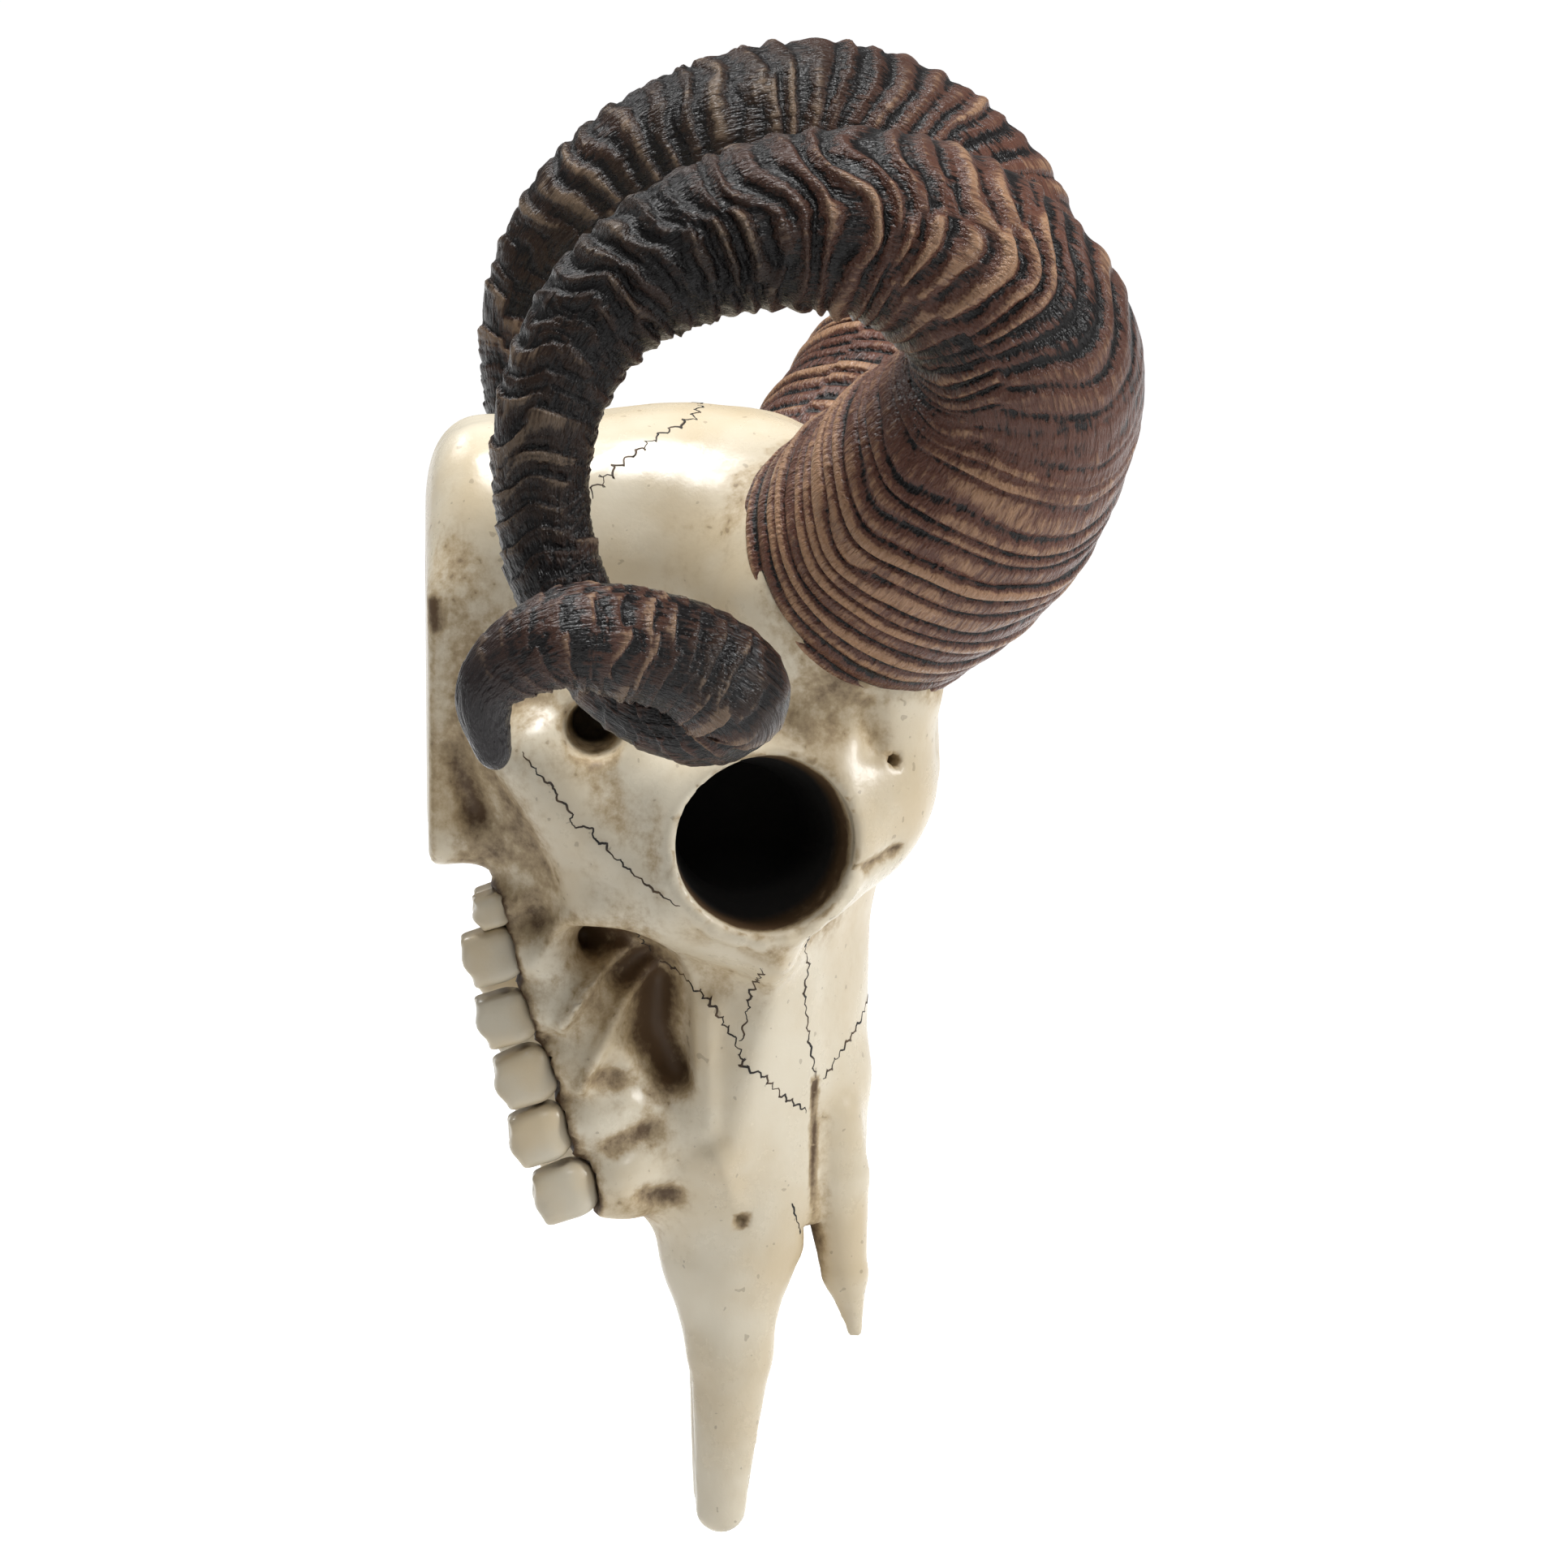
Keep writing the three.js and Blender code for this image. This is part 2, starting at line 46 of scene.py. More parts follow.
# A life-size cast-resin ram skull with a flat back, made to hang on a wall.
#
# Places are written (side, fore, up) in millimetres: out from the middle, forward from the wall, and
# up. Both sides are alike. In the scene a place stands at (side or -side, -fore, up) in metres.

bl_info = {
    "name": "Ram skull",
    "version": (1, 0, 0),
    "blender": (4, 5, 0),
    "location": "3D View > Sidebar > Ram skull",
    "description": "Builds a cast-resin ram skull with ringed horns, hung flat on a wall",
    "category": "Add Mesh",
}

MM = 0.001
SIDES = {"right": -1, "left": 1}
SEEDS = {"unevenness": 11, "horns": 17, "teeth": 23, "sutures": 40}

# ---------------------------------------------------------------- shape of the bone

# holes: the middle of the mouth, the turns of the axis from straight out to the side, in degrees, the
# radius at the mouth and on the floor, and the depth
ORBIT = {"centre": (57, 78, -34.2), "fore": 8, "up": 3, "radius": 21.0, "floor": 15, "depth": 38}
EAR = {"centre": (52, 38.6, -7.6), "fore": 0, "up": 4, "radius": 7.2, "floor": 4, "depth": 22}
CHEEK_HOLE = {"centre": (34, 73.2, -134), "fore": -4, "up": -28, "radius": 2.5, "floor": 1.2, "depth": 10}
BROW_HOLE = {"centre": (49, 109.5, -16), "fore": 40, "up": 4, "radius": 1.7, "floor": 1, "depth": 16}

ORBIT_RIM = {"radius": 22.4, "depth": 1.5, "thickness": 1.6}
OFF_MIDDLE = 8  # the orbits' painted shade keeps this far from the middle


class Tooth(NamedTuple):
    """A crown: the place of its biting edge, its length to the gum, and its width along the row."""

    fore: float
    up: float
    length: float
    width: float


TEETH = [
    Tooth(10.6, -55.2, 9.0, 8.6),
    Tooth(8.2, -67.2, 14.4, 13.6),
    Tooth(11.8, -82.0, 13.8, 13.4),
    Tooth(15.9, -96.2, 14.6, 13.8),
    Tooth(19.5, -110.2, 14.8, 13.8),
    Tooth(25.2, -124.0, 15.4, 13.8),
]
# how much shorter a crown is than its fellow on the other side
WORN = {("left", 0): 5.5, ("left", 1): 4.0}
TOOTH_LEAN = math.radians(17)
TOOTH_SIDE = 29.5
TOOTH_BREADTH = 12.6

# (side, fore, up) along the horn's middle line and half its thickness there, from the brow round the
# coil to the tip
HORN = [
    (27, 100, 24, 34.5),
    (62, 123, 50, 35),
    (84, 136, 80, 28.5),
    (96, 125, 103, 25.5),
    (101, 99, 116, 23),
    (99, 68, 113, 19.5),
    (98, 41, 98, 15),
    (100, 27, 72, 12.3),
    (101, 28, 40, 11.2),
    (105, 42, 15, 12),
    (112, 59, 7, 13),
    (122, 68, 13, 13.6),
    (130, 53, 23, 13.6),
    (135, 30, 27, 12),
    (135, 13, 16, 7.5),
    (131, 15, -3, 3.5),
]

ARCH_TOP = 150  # how far along the horn the top of its arch lies
ROUND_TIP = 4.5  # the length of horn that the rounding of its tip takes up
KEEL = math.radians(-48)  # where the keel runs round the horn, from the side away from the arch's bend
CREASE = -2.3  # where the crease runs, in radians from the same side
RINGS_BEFORE = 40  # rings that may be counted below zero, where the count is shifted back past the foot
LINE_SAMPLES = 6000  # places worked out along the horn before they are spaced evenly
RING_HEIGHTS = 320  # more rings than any count of them reaches, the fine ones too
INSET = 0.962  # keeps the highest rings inside the frame's plain lengths of horn

f4 = np.float32


def step(x, low, high):
    """0 below low, 1 above high, and a smooth rise between them."""
    t = np.clip((x - f4(low)) / f4(high - low), 0, 1)
    return t * t * (3 - 2 * t)


def ball(p, centre, radii):
    """Roughly the distance to an ellipsoid."""
    q = [(p[i] - f4(centre[i])) / f4(radii[i]) for i in range(3)]
    near = np.sqrt(q[0] ** 2 + q[1] ** 2 + q[2] ** 2) + f4(1e-6)
    slope = np.sqrt(sum((q[i] / f4(radii[i])) ** 2 for i in range(3))) + f4(1e-6)
    return near * (near - 1) / slope


def rod(p, start, end, r_start, r_end, thin=1.0):
    """Distance to a round-ended rod whose radius changes along it; thin flattens it sideways."""
    run = [f4(end[i] - start[i]) for i in range(3)]
    off = [p[i] - f4(start[i]) for i in range(3)]
    t = np.clip(sum(off[i] * run[i] for i in range(3)) / sum(r * r for r in run), 0, 1)
    off = [off[i] - t * run[i] for i in range(3)]
    radius = f4(r_start) + t * f4(r_end - r_start)
    rest = off[1] ** 2 + off[2] ** 2
    swollen = np.sqrt((off[0] * f4(thin)) ** 2 + rest)
    if thin == 1:
        return swollen - radius
    slope = np.sqrt((off[0] * f4(thin * thin)) ** 2 + rest) / (swollen + f4(1e-6))
    return (swollen - radius) / np.maximum(slope, 1)


def brick(p, centre, half, rounding):
    """Distance to a box with rounded edges."""
    q = [np.abs(p[i] - f4(centre[i])) - f4(half[i] - rounding) for i in range(3)]
    outside = np.sqrt(sum(np.maximum(v, 0) ** 2 for v in q))
    return outside + np.minimum(np.maximum(np.maximum(q[0], q[1]), q[2]), 0) - f4(rounding)


def join(a, b, width):
    """Two forms flowing into one another over a width."""
    h = np.clip(f4(0.5) + f4(0.5) * (b - a) / width, 0, 1)
    return b + (a - b) * h - width * h * (1 - h)


def carve(a, b, width):
    """A form with another carved out of it, its edge rounded over a width."""
    return -join(-a, b, width)


def stroke(p, start, end, width, height):
    """A soft ridge, or a furrow where the height is negative, between two (fore, up) places."""
    run = (end[0] - start[0], end[1] - start[1])
    t = ((p[1] - f4(start[0])) * f4(run[0]) + (p[2] - f4(start[1])) * f4(run[1]))
    t = np.clip(t / f4(run[0] ** 2 + run[1] ** 2 + 1e-6), 0, 1)
    off = (p[1] - f4(start[0]) - t * f4(run[0])) ** 2 + (p[2] - f4(start[1]) - t * f4(run[1])) ** 2
    return f4(height) * np.exp(-off / f4(width * width))


def axis_of(hole):
    """The unit vector that points out of a hole, from its two turns in degrees."""
    turn, lift = math.radians(hole["fore"]), math.radians(hole["up"])
    return np.array([math.cos(turn) * math.cos(lift), math.sin(turn) * math.cos(lift), math.sin(lift)])


def depth_and_reach(p, hole):
    """How far a place is along a hole's axis, positive outside, and how far from the axis."""
    axis = axis_of(hole)
    t = sum((p[i] - f4(hole["centre"][i])) * f4(axis[i]) for i in range(3))
    reach = sum((p[i] - f4(hole["centre"][i])) ** 2 for i in range(3)) - t * t
    return t, np.sqrt(np.maximum(reach, 0))


def shaft(p, hole):
    """Distance to the round shaft of a hole, which narrows towards its floor."""
    t, reach = depth_and_reach(p, hole)
    share = np.clip(-t / f4(hole["depth"]), 0, 1)
    wall = reach - (f4(hole["radius"]) + share * f4(hole["floor"] - hole["radius"]))
    return np.maximum(wall, -t - f4(hole["depth"]))


def braincase(p):
    """The braincase, with the block that meets the wall and the root of the skull below it."""
    d = brick(p, (0, 46, 10), (36.5, 60, 48.5), 32)
    d = join(d, ball(p, (0, 62, 22), (33, 46, 38)), 8)
    d = join(d, brick(p, (0, 0, -8), (36.5, 12, 35.5), 9), 10)
    d = join(d, brick(p, (0, 17, -27), (33, 12, 15), 8), 6)
    return join(d, rod(p, (0, 30, -20), (0, 42, -46), 26, 18), 12)


def forehead(p):
    """The forehead, with the two bosses that carry the horns."""
    d = ball(p, (0, 66, -24), (38, 46, 44))
    d = join(d, brick(p, (0, 92, -8), (33, 29, 32), 18), 12)
    d = join(d, ball(p, (34, 98, -24), (18, 21, 24)), 10)
    d = join(d, ball(p, (34, 103, 1), (19, 18, 18)), 8)
    d = join(d, ball(p, (30, 98, 17), (27, 23, 26)), 8)
    return join(d, ball(p, (31, 86, 20), (27, 22, 28)), 8)


def cheek(p):
    """The bone round the orbit, and the arch that runs from it back towards the ear."""
    d = ball(p, (45, 76, -34), (21, 26.5, 27.5))
    d = join(d, rod(p, (46, 24, -14), (51, 56, -47), 8, 7.5), 8)
    d = join(d, rod(p, (36, 36, 2), (46, 52, -20), 13, 11), 11)
    d = join(d, rod(p, (45, 27, -16), (43, 40, -49), 8.5, 7.5), 7)
    d = join(d, rod(p, (27, 27, -42), (29.5, 31, -62), 8.5, 7.5), 6)
    d = join(d, rod(p, (31, 20, -18), (31, 36, -48), 8, 8), 8)
    return join(d, rod(p, (44, 48, -49.5), (45, 78, -58.5), 8, 7), 8)


def prong(p):
    """One of the two flat prongs that the muzzle ends in."""
    d = rod(p, (13, 70.5, -118), (12.5, 71, -141), 20, 16, 1.45)
    d = join(d, rod(p, (12.5, 71, -141), (12, 71.6, -165), 16, 9.8, 1.55), 3)
    return join(d, rod(p, (12, 71.6, -165), (9, 69.5, -205), 9.8, 6, 1.45), 3)


def muzzle(p):
    """The muzzle: the bridge, the jaw above the teeth, and the prongs at its end."""
    d = rod(p, (0, 85, -40), (0, 91.5, -100), 21, 13.5)
    d = join(d, rod(p, (0, 91.5, -100), (0, 92, -130), 13.5, 12.8), 4)
    d = join(d, rod(p, (17, 74, -58), (12, 74, -124), 22, 15), 14)
    d = join(d, rod(p, (19, 46, -52), (14, 56, -114), 21, 17), 12)
    d = join(d, rod(p, (27.5, 30, -58), (26, 46, -121), 9, 8.5), 8)
    return join(d, prong(p), 7)


def tooth_frame(p, tooth):
    """Places in a crown's own frame: across it, from its biting edge to the gum, and along the row."""
    fore, up = p[1] - f4(tooth.fore), p[2] - f4(tooth.up)
    c, s = f4(math.cos(TOOTH_LEAN)), f4(math.sin(TOOTH_LEAN))
    return p[0] - f4(TOOTH_SIDE), fore * c + up * s, up * c - fore * s


def roots(p):
    """The swellings of the jaw over the roots of the teeth, each with a collar round its crown."""
    d = None
    for tooth in TEETH:
        across, depth, along = tooth_frame(p, tooth)
        q = (across, depth - f4(tooth.length + 4), along)
        swelling = ball(q, (-1.5, 0, 0), (8.4, 8.5, tooth.width * 0.52))
        collar = ball(q, (-0.6, -5, 0), (6.6, 3.6, tooth.width * 0.6))
        swelling = join(swelling, collar, 2)
        d = swelling if d is None else np.minimum(d, swelling)
    return d


def seats(p):
    """The sockets that the crowns stand in, a little larger than the crowns."""
    d = None
    for tooth in TEETH:
        across, depth, along = tooth_frame(p, tooth)
        half = (7.2, tooth.length * 0.5 + 0.9, tooth.width * 0.5 + 0.7)
        seat = brick((across, depth - f4(tooth.length * 0.5), along), (0, 0, 0), half, 6.6)
        d = seat if d is None else np.minimum(d, seat)
    return d


# ridges and furrows on the side of the skull: the (fore, up) places that each runs through, its width
# and its height, which is negative for a furrow
RIDGES = [
    ([(82, -66), (71, -114)], 6, 3),  # the facial crest
    ([(66, -76), (65.5, -106)], 2.6, 1.6),  # its sharp edge
    ([(67, -114), (71, -124)], 3.2, 1.6),  # its lower end
    ([(6, -14), (11, -30)], 4, -2.2),  # the side of the block
    ([(30, 10), (66, 9)], 9, -3.5),  # the temple
    ([(26, -54), (26.4, -55)], 4.2, -3),  # behind the last tooth
    ([(31, -54), (27.5, -61), (24.5, -66)], 2.4, 1.4),
    ([(40.5, -93.7), (42.5, -94.5)], 3.2, -2.2),  # three small pits above the teeth
    ([(43.5, -110.7), (51, -107)], 2.8, -1.7),
    ([(50, -122.4), (57, -123)], 2.8, -1.9),
    ([(88, -6), (98, -18), (102, -36)], 4, 0.8),  # the brow
    ([(102, -2), (104, -13)], 3.2, -1.8),
    ([(101.5, -40.5), (109, -37.5)], 1.5, -1.6),
    ([(47, -100), (52, -101)], 4, 1.2),  # between two of the pits
]
# the hollow beside the facial crest, its deeper parts and the three ridges in it
HOLLOW = [
    ([(40, -63), (50, -67), (53, -78), (55.5, -91)], 8.5, -6.5),
    ([(37.5, -61), (45, -60.5)], 4.8, -5),
    ([(51, -64.5), (45.5, -70)], 3, -3),
    ([(54, -72), (52.5, -83), (55, -89), (58.2, -95.5)], 5, -4.5),
    ([(46, -63.5), (42, -66.5), (36.6, -72.5), (31.3, -80.5)], 1.9, 3.4),
    ([(52, -68.5), (46.1, -75), (42, -82.5), (35.5, -96)], 1.9, 3.4),
    ([(43.4, -85.1), (48.8, -92.5), (54, -96.8), (60.2, -99)], 2.2, 2),
]
HOLLOW_ARCH = {"fore": 40, "up": -75, "half_width": 22.6, "height": 20}


def course(p, places, width, height):
    """A stroke that runs through several (fore, up) places."""
    parts = [stroke(p, a, b, width, 1) for a, b in zip(places[:-1], places[1:])]
    return f4(height) * np.max(parts, axis=0)


def relief(p):
    """Height of the ridges and hollows on the side of the skull. The hollow beside the facial crest ends
    under an arch."""
    across = (p[1] - f4(HOLLOW_ARCH["fore"])) / f4(HOLLOW_ARCH["half_width"])
    above = np.maximum(p[2] - f4(HOLLOW_ARCH["up"]), 0) / f4(HOLLOW_ARCH["height"])
    under_arch = 1 - step(np.sqrt(across ** 2 + above ** 2), 0.9, 1.03)
    h = sum(course(p, *ridge) for ridge in RIDGES)
    h = h + sum(course(p, *part) for part in HOLLOW) * under_arch
    return h * step(p[0], 8, 24)


def uneven(p, amount, lengths=(34, 26, 19, 14, 11, 8.5, 6.5)):
    """A small hand-made unevenness: plane waves of several lengths in seeded directions."""
    rng = np.random.default_rng(SEEDS["unevenness"])
    total = 0
    for length in lengths:
        axis = rng.normal(size=3)
        axis = axis / np.linalg.norm(axis) * 2 * math.pi / length
        phase = rng.uniform(0, 2 * math.pi)
        wave = np.sin(p[0] * f4(axis[0]) + p[1] * f4(axis[1]) + p[2] * f4(axis[2]) + f4(phase))
        total = total + wave * f4(length / lengths[0])
    return total * f4(amount)


def nasal_tips(p):
    """The pointed lower ends of the two long bones of the nose bridge."""
    d = rod(p, (7.4, 94.8, -108), (7.6, 96.6, -124), 8.6, 8.4)
    d = join(d, rod(p, (7.6, 96.6, -124), (7.2, 99.4, -148), 8.4, 5.2), 1)
    return join(d, rod(p, (7.2, 99.4, -148), (6.8, 101.6, -162), 5.2, 1.6), 2)


def orbit_rim(p):
    """Distance from the ring that runs round the mouth of the orbit."""
    t, reach = depth_and_reach(p, ORBIT)
    return np.sqrt((reach - f4(ORBIT_RIM["radius"])) ** 2 + (t + f4(ORBIT_RIM["depth"])) ** 2)


def with_palate(d, p):
    """The bone with the hollow of the palate carved out of it."""
    d = carve(d, rod(p, (0, 12, -70), (0, 32, -118), 18, 14), 6)
    return carve(d, rod(p, (0, 6, -52), (0, 20, -62), 14, 15), 5)


def with_nose(d, p):
    """The bone with the crevice beside the long bones, the channel of the nose, the front that slopes
    back below it, the pointed tips over it, and the gap between the prongs."""
    d = carve(d, rod(p, (21.5, 91.4, -98), (18.5, 91.2, -138), 0.8, 1.3), 0.6)
    channel = rod(p, (0, 84, -112), (0, 79, -196), 10, 10)
    below = np.maximum(f4(90) - p[1], p[2] - f4(-135.5))
    d = carve(d, join(channel, below, 1), 2)
    slope = f4(89.5) - p[1] - (p[2] + f4(136)) * f4(0.235)
    d = np.where(p[2] < f4(-134), carve(d, slope, 3), d)
    d = join(d, nasal_tips(p), 1.5)
    return carve(d, brick(p, (0, 68, -186), (3.2, 30, 40), 3), 2)


def with_flat_back(d, p):
    """The bone cut off flat at the wall, its edge there rounder towards the crown."""
    rounding = 3 + 9 * step(p[2], 16, 44)
    d = -join(-d, p[1] - f4(0.1), rounding)
    return np.maximum(d, -p[1])


def bone(p):
    """Distance to the whole bone, negative inside. p holds side (never negative), fore and up."""
    d = join(braincase(p), forehead(p), 14)
    d = join(d, cheek(p), 14)
    d = join(d, muzzle(p), 12)
    d = join(d, roots(p), 4)
    rim = orbit_rim(p)
    d = join(d, rim - f4(ORBIT_RIM["thickness"]), 4)
    nicks = uneven(p, 0.3, (6, 4.6, 3.7)) * np.exp(-rim * rim / f4(9)) * step(p[2], -30, -45)
    d = d - relief(p) - nicks
    d = with_nose(with_palate(d, p), p)
    for hole, edge in ((ORBIT, 1.4), (EAR, 2.4), (CHEEK_HOLE, 1.2), (BROW_HOLE, 0.9)):
        d = carve(d, shaft(p, hole), edge)
    d = carve(d, seats(p), 1)
    return with_flat_back(d - uneven(p, 0.13), p)


# ---------------------------------------------------------------- from a distance to a mesh


def surface_nets(values, lines):
    """The zero surface of values on a grid: one vertex in each cell that it crosses, at the middle of
    its crossings with the cell's edges, and one quad across each grid edge that it cuts."""
    inside = values < 0
    n = values.shape
    corners = [(i, j, k) for i in (0, 1) for j in (0, 1) for k in (0, 1)]
    filled = np.zeros([m - 1 for m in n], np.int8)
    for i, j, k in corners:
        filled += inside[i:n[0] - 1 + i, j:n[1] - 1 + j, k:n[2] - 1 + k]
    crossed = (filled > 0) & (filled < 8)
    cells = np.argwhere(crossed)
    number = np.full(crossed.shape, -1, np.int64)
    number[crossed] = np.arange(len(cells))

    total, count = np.zeros((len(cells), 3)), np.zeros(len(cells))
    for corner in corners:
        for axis in range(3):
            if corner[axis]:
                continue
            a = cells + corner
            b = a.copy()
            b[:, axis] += 1
            va, vb = values[tuple(a.T)], values[tuple(b.T)]
            cut = (va < 0) != (vb < 0)
            place = np.tile(np.array(corner, float), (len(cells), 1))
            place[:, axis] += np.where(cut, va / np.where(cut, va - vb, 1), 0)
            total[cut] += place[cut]
            count[cut] += 1
    places = cells + total / count[:, None]
    points = np.stack([np.interp(places[:, i], np.arange(n[i]), lines[i]) for i in range(3)], 1)

    quads = []
    for axis, u, v in ((0, 1, 2), (1, 2, 0), (2, 0, 1)):
        low, high = [slice(None)] * 3, [slice(None)] * 3
        low[axis], high[axis] = slice(0, -1), slice(1, None)
        edges = np.argwhere(inside[tuple(low)] != inside[tuple(high)])
        leaving = inside[tuple(edges.T)]

        def cell(du, dv):
            at = edges.copy()
            at[:, u] -= du
            at[:, v] -= dv
            return number[tuple(at.T)]

        quad = np.stack([cell(1, 1), cell(0, 1), cell(0, 0), cell(1, 0)], 1)
        quad[~leaving] = quad[~leaving][:, ::-1]
        quads.append(quad)
    return points, np.concatenate(quads)


def largest_body(points, quads):
    """The largest connected body of a mesh: labels spread over the edges until they stop changing."""
    edges = np.concatenate([quads[:, [0, 1]], quads[:, [1, 2]], quads[:, [2, 3]]])
    label = np.arange(len(points))
    while True:
        low = np.minimum(label[edges[:, 0]], label[edges[:, 1]])
        new = label.copy()
        np.minimum.at(new, edges[:, 0], low)
        np.minimum.at(new, edges[:, 1], low)
        new = new[new]
        if (new == label).all():
            break
        label = new
    kept = label == np.bincount(label).argmax()
    number = np.cumsum(kept) - 1
    return points[kept], number[quads[kept[quads[:, 0]]]]


def at(points):
    """Points as side, fore and up arrays; both sides of the skull are alike."""
    return [np.abs(points[:, 0]).astype(f4), points[:, 1].astype(f4), points[:, 2].astype(f4)]


def slope_of(points, reach=0.4):
    """The slope of the bone's distance at points, from the two sides of each axis."""
    slope = np.empty_like(points)
    for axis in range(3):
        move = np.zeros(3)
        move[axis] = reach
        slope[:, axis] = (bone(at(points + move)) - bone(at(points - move))) / (2 * reach)
    return slope


def settle(points, rounds=2):
    """Points moved along the slope onto the surface of the bone."""
    for _ in range(rounds):
        slope = slope_of(points)
        steep = np.maximum((slope ** 2).sum(1), 0.3)
        move = -(bone(at(points)) / steep)[:, None] * slope
        size = np.linalg.norm(move, axis=1)[:, None]
        points = points + move * np.minimum(1, 1.0 / np.maximum(size, 1e-6))
    return points


def grid_lines(stops):
    """Grid positions from (place, step from there on) pairs; the last pair only ends the line."""
    parts = []
    for (start, size), (end, _) in zip(stops[:-1], stops[1:]):
        count = max(1, round((end - start) / size))
        parts.append(np.linspace(start, end, count, endpoint=False))
    return np.concatenate(parts + [np.array([stops[-1][0]])])


# ---------------------------------------------------------------- meshes and finishes


def to_scene(points, sign=1):
    """(side, fore, up) in millimetres to scene places in metres."""
    return np.stack([sign * points[:, 0], -points[:, 1], points[:, 2]], 1) * MM


def new_piece(name, points, faces, finish, slot, attributes=None):
    """A mesh piece with its places in its mesh, shaded smooth, that rides on the body."""
    mesh = bpy.data.meshes.new(name)
    mesh.vertices.add(len(points))
    mesh.vertices.foreach_set("co", np.asarray(points, f4).ravel())
    mesh.loops.add(faces.size)
    mesh.loops.foreach_set("vertex_index", faces.astype(np.int32).ravel())
    mesh.polygons.add(len(faces))
    mesh.polygons.foreach_set("loop_start", np.arange(0, faces.size, faces.shape[1], dtype=np.int32))
    mesh.polygons.foreach_set("use_smooth", np.ones(len(faces), bool))
    mesh.update(calc_edges=True)
    if mesh.validate():
        raise RuntimeError(f"{name} has faces that had to be mended")
    for key, values in (attributes or {}).items():
        kind = "FLOAT_VECTOR" if values.ndim == 2 else "FLOAT"
        layer = mesh.attributes.new(key, kind, "POINT")
        layer.data.foreach_set("vector" if values.ndim == 2 else "value", np.asarray(values, f4).ravel())
    piece = bpy.data.objects.new(name, mesh)
    bpy.context.scene.collection.objects.link(piece)
    mesh.materials.append(finish)
    if slot:
        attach(piece, "root")
    return piece


class Finish:
    """A procedural material, built node by node. A method that adds a node returns its output."""

    def __init__(self, name):
        self.material = bpy.data.materials.new(name)
        self.material.use_nodes = True
        self.tree = self.material.node_tree
        self.shader = self.tree.nodes["Principled BSDF"]
        self.place = self.tree.nodes.new("ShaderNodeTexCoord").outputs["Object"]

    def put(self, value, socket):
        """Sets a socket, or links an output to it."""
        if isinstance(value, bpy.types.NodeSocket):
            self.tree.links.new(value, socket)
        else:
            socket.default_value = value

    def attribute(self, name, output="Fac"):
        """A value that comes with the mesh."""
        node = self.tree.nodes.new("ShaderNodeAttribute")
        node.attribute_name = name
        return node.outputs[output]

    def noise(self, scale, detail=3.0, rough=0.5, stretch=None, vector=None):
        """Noise over the piece's own places, or over another vector, scaled along each axis first."""
        source = vector or self.place
        if stretch:
            mapping = self.tree.nodes.new("ShaderNodeMapping")
            mapping.inputs["Scale"].default_value = stretch
            self.tree.links.new(source, mapping.inputs["Vector"])
            source = mapping.outputs["Vector"]
        node = self.tree.nodes.new("ShaderNodeTexNoise")
        self.tree.links.new(source, node.inputs["Vector"])
        node.inputs["Scale"].default_value = scale
        node.inputs["Detail"].default_value = detail
        node.inputs["Roughness"].default_value = rough
        return node.outputs["Fac"]

    def math(self, operation, a, b):
        """One sum with two values."""
        node = self.tree.nodes.new("ShaderNodeMath")
        node.operation = operation
        self.put(a, node.inputs[0])
        self.put(b, node.inputs[1])
        return node.outputs[0]

    def total(self, value, *more):
        """The sum of several values."""
        for other in more:
            value = self.math("ADD", value, other)
        return value

    def swing(self, value, width):
        """A noise brought to swing about 0 instead of 0.5, over the given width."""
        return self.math("MULTIPLY", self.math("SUBTRACT", value, 0.5), width)

    def span(self, value, low, high, to_low=0.0, to_high=1.0):
        """A value's range from low to high, smoothly to another range."""
        node = self.tree.nodes.new("ShaderNodeMapRange")
        node.interpolation_type = "SMOOTHSTEP"
        self.put(value, node.inputs["Value"])
        for key, number in zip(("From Min", "From Max", "To Min", "To Max"), (low, high, to_low, to_high)):
            node.inputs[key].default_value = number
        return node.outputs["Result"]

    def mix(self, share, a, b):
        """Colour a turning into colour b as the share goes from 0 to 1."""
        node = self.tree.nodes.new("ShaderNodeMix")
        node.data_type = "RGBA"
        self.put(share, node.inputs[0])
        self.put(a, node.inputs[6])
        self.put(b, node.inputs[7])
        return node.outputs[2]

    def bump(self, height, distance, strength, normal=None):
        """The surface's slope with a height laid over it, and over an earlier slope if one is given."""
        node = self.tree.nodes.new("ShaderNodeBump")
        node.inputs["Distance"].default_value = distance
        node.inputs["Strength"].default_value = strength
        self.put(height, node.inputs["Height"])
        if normal:
            self.tree.links.new(normal, node.inputs["Normal"])
        return node.outputs["Normal"]

    def wear(self, **sockets):
        """Sets the shader's own sockets by name, an underscore standing for a space."""
        for key, value in sockets.items():
            self.put(value, self.shader.inputs[key.replace("_", " ")])
        return self.material


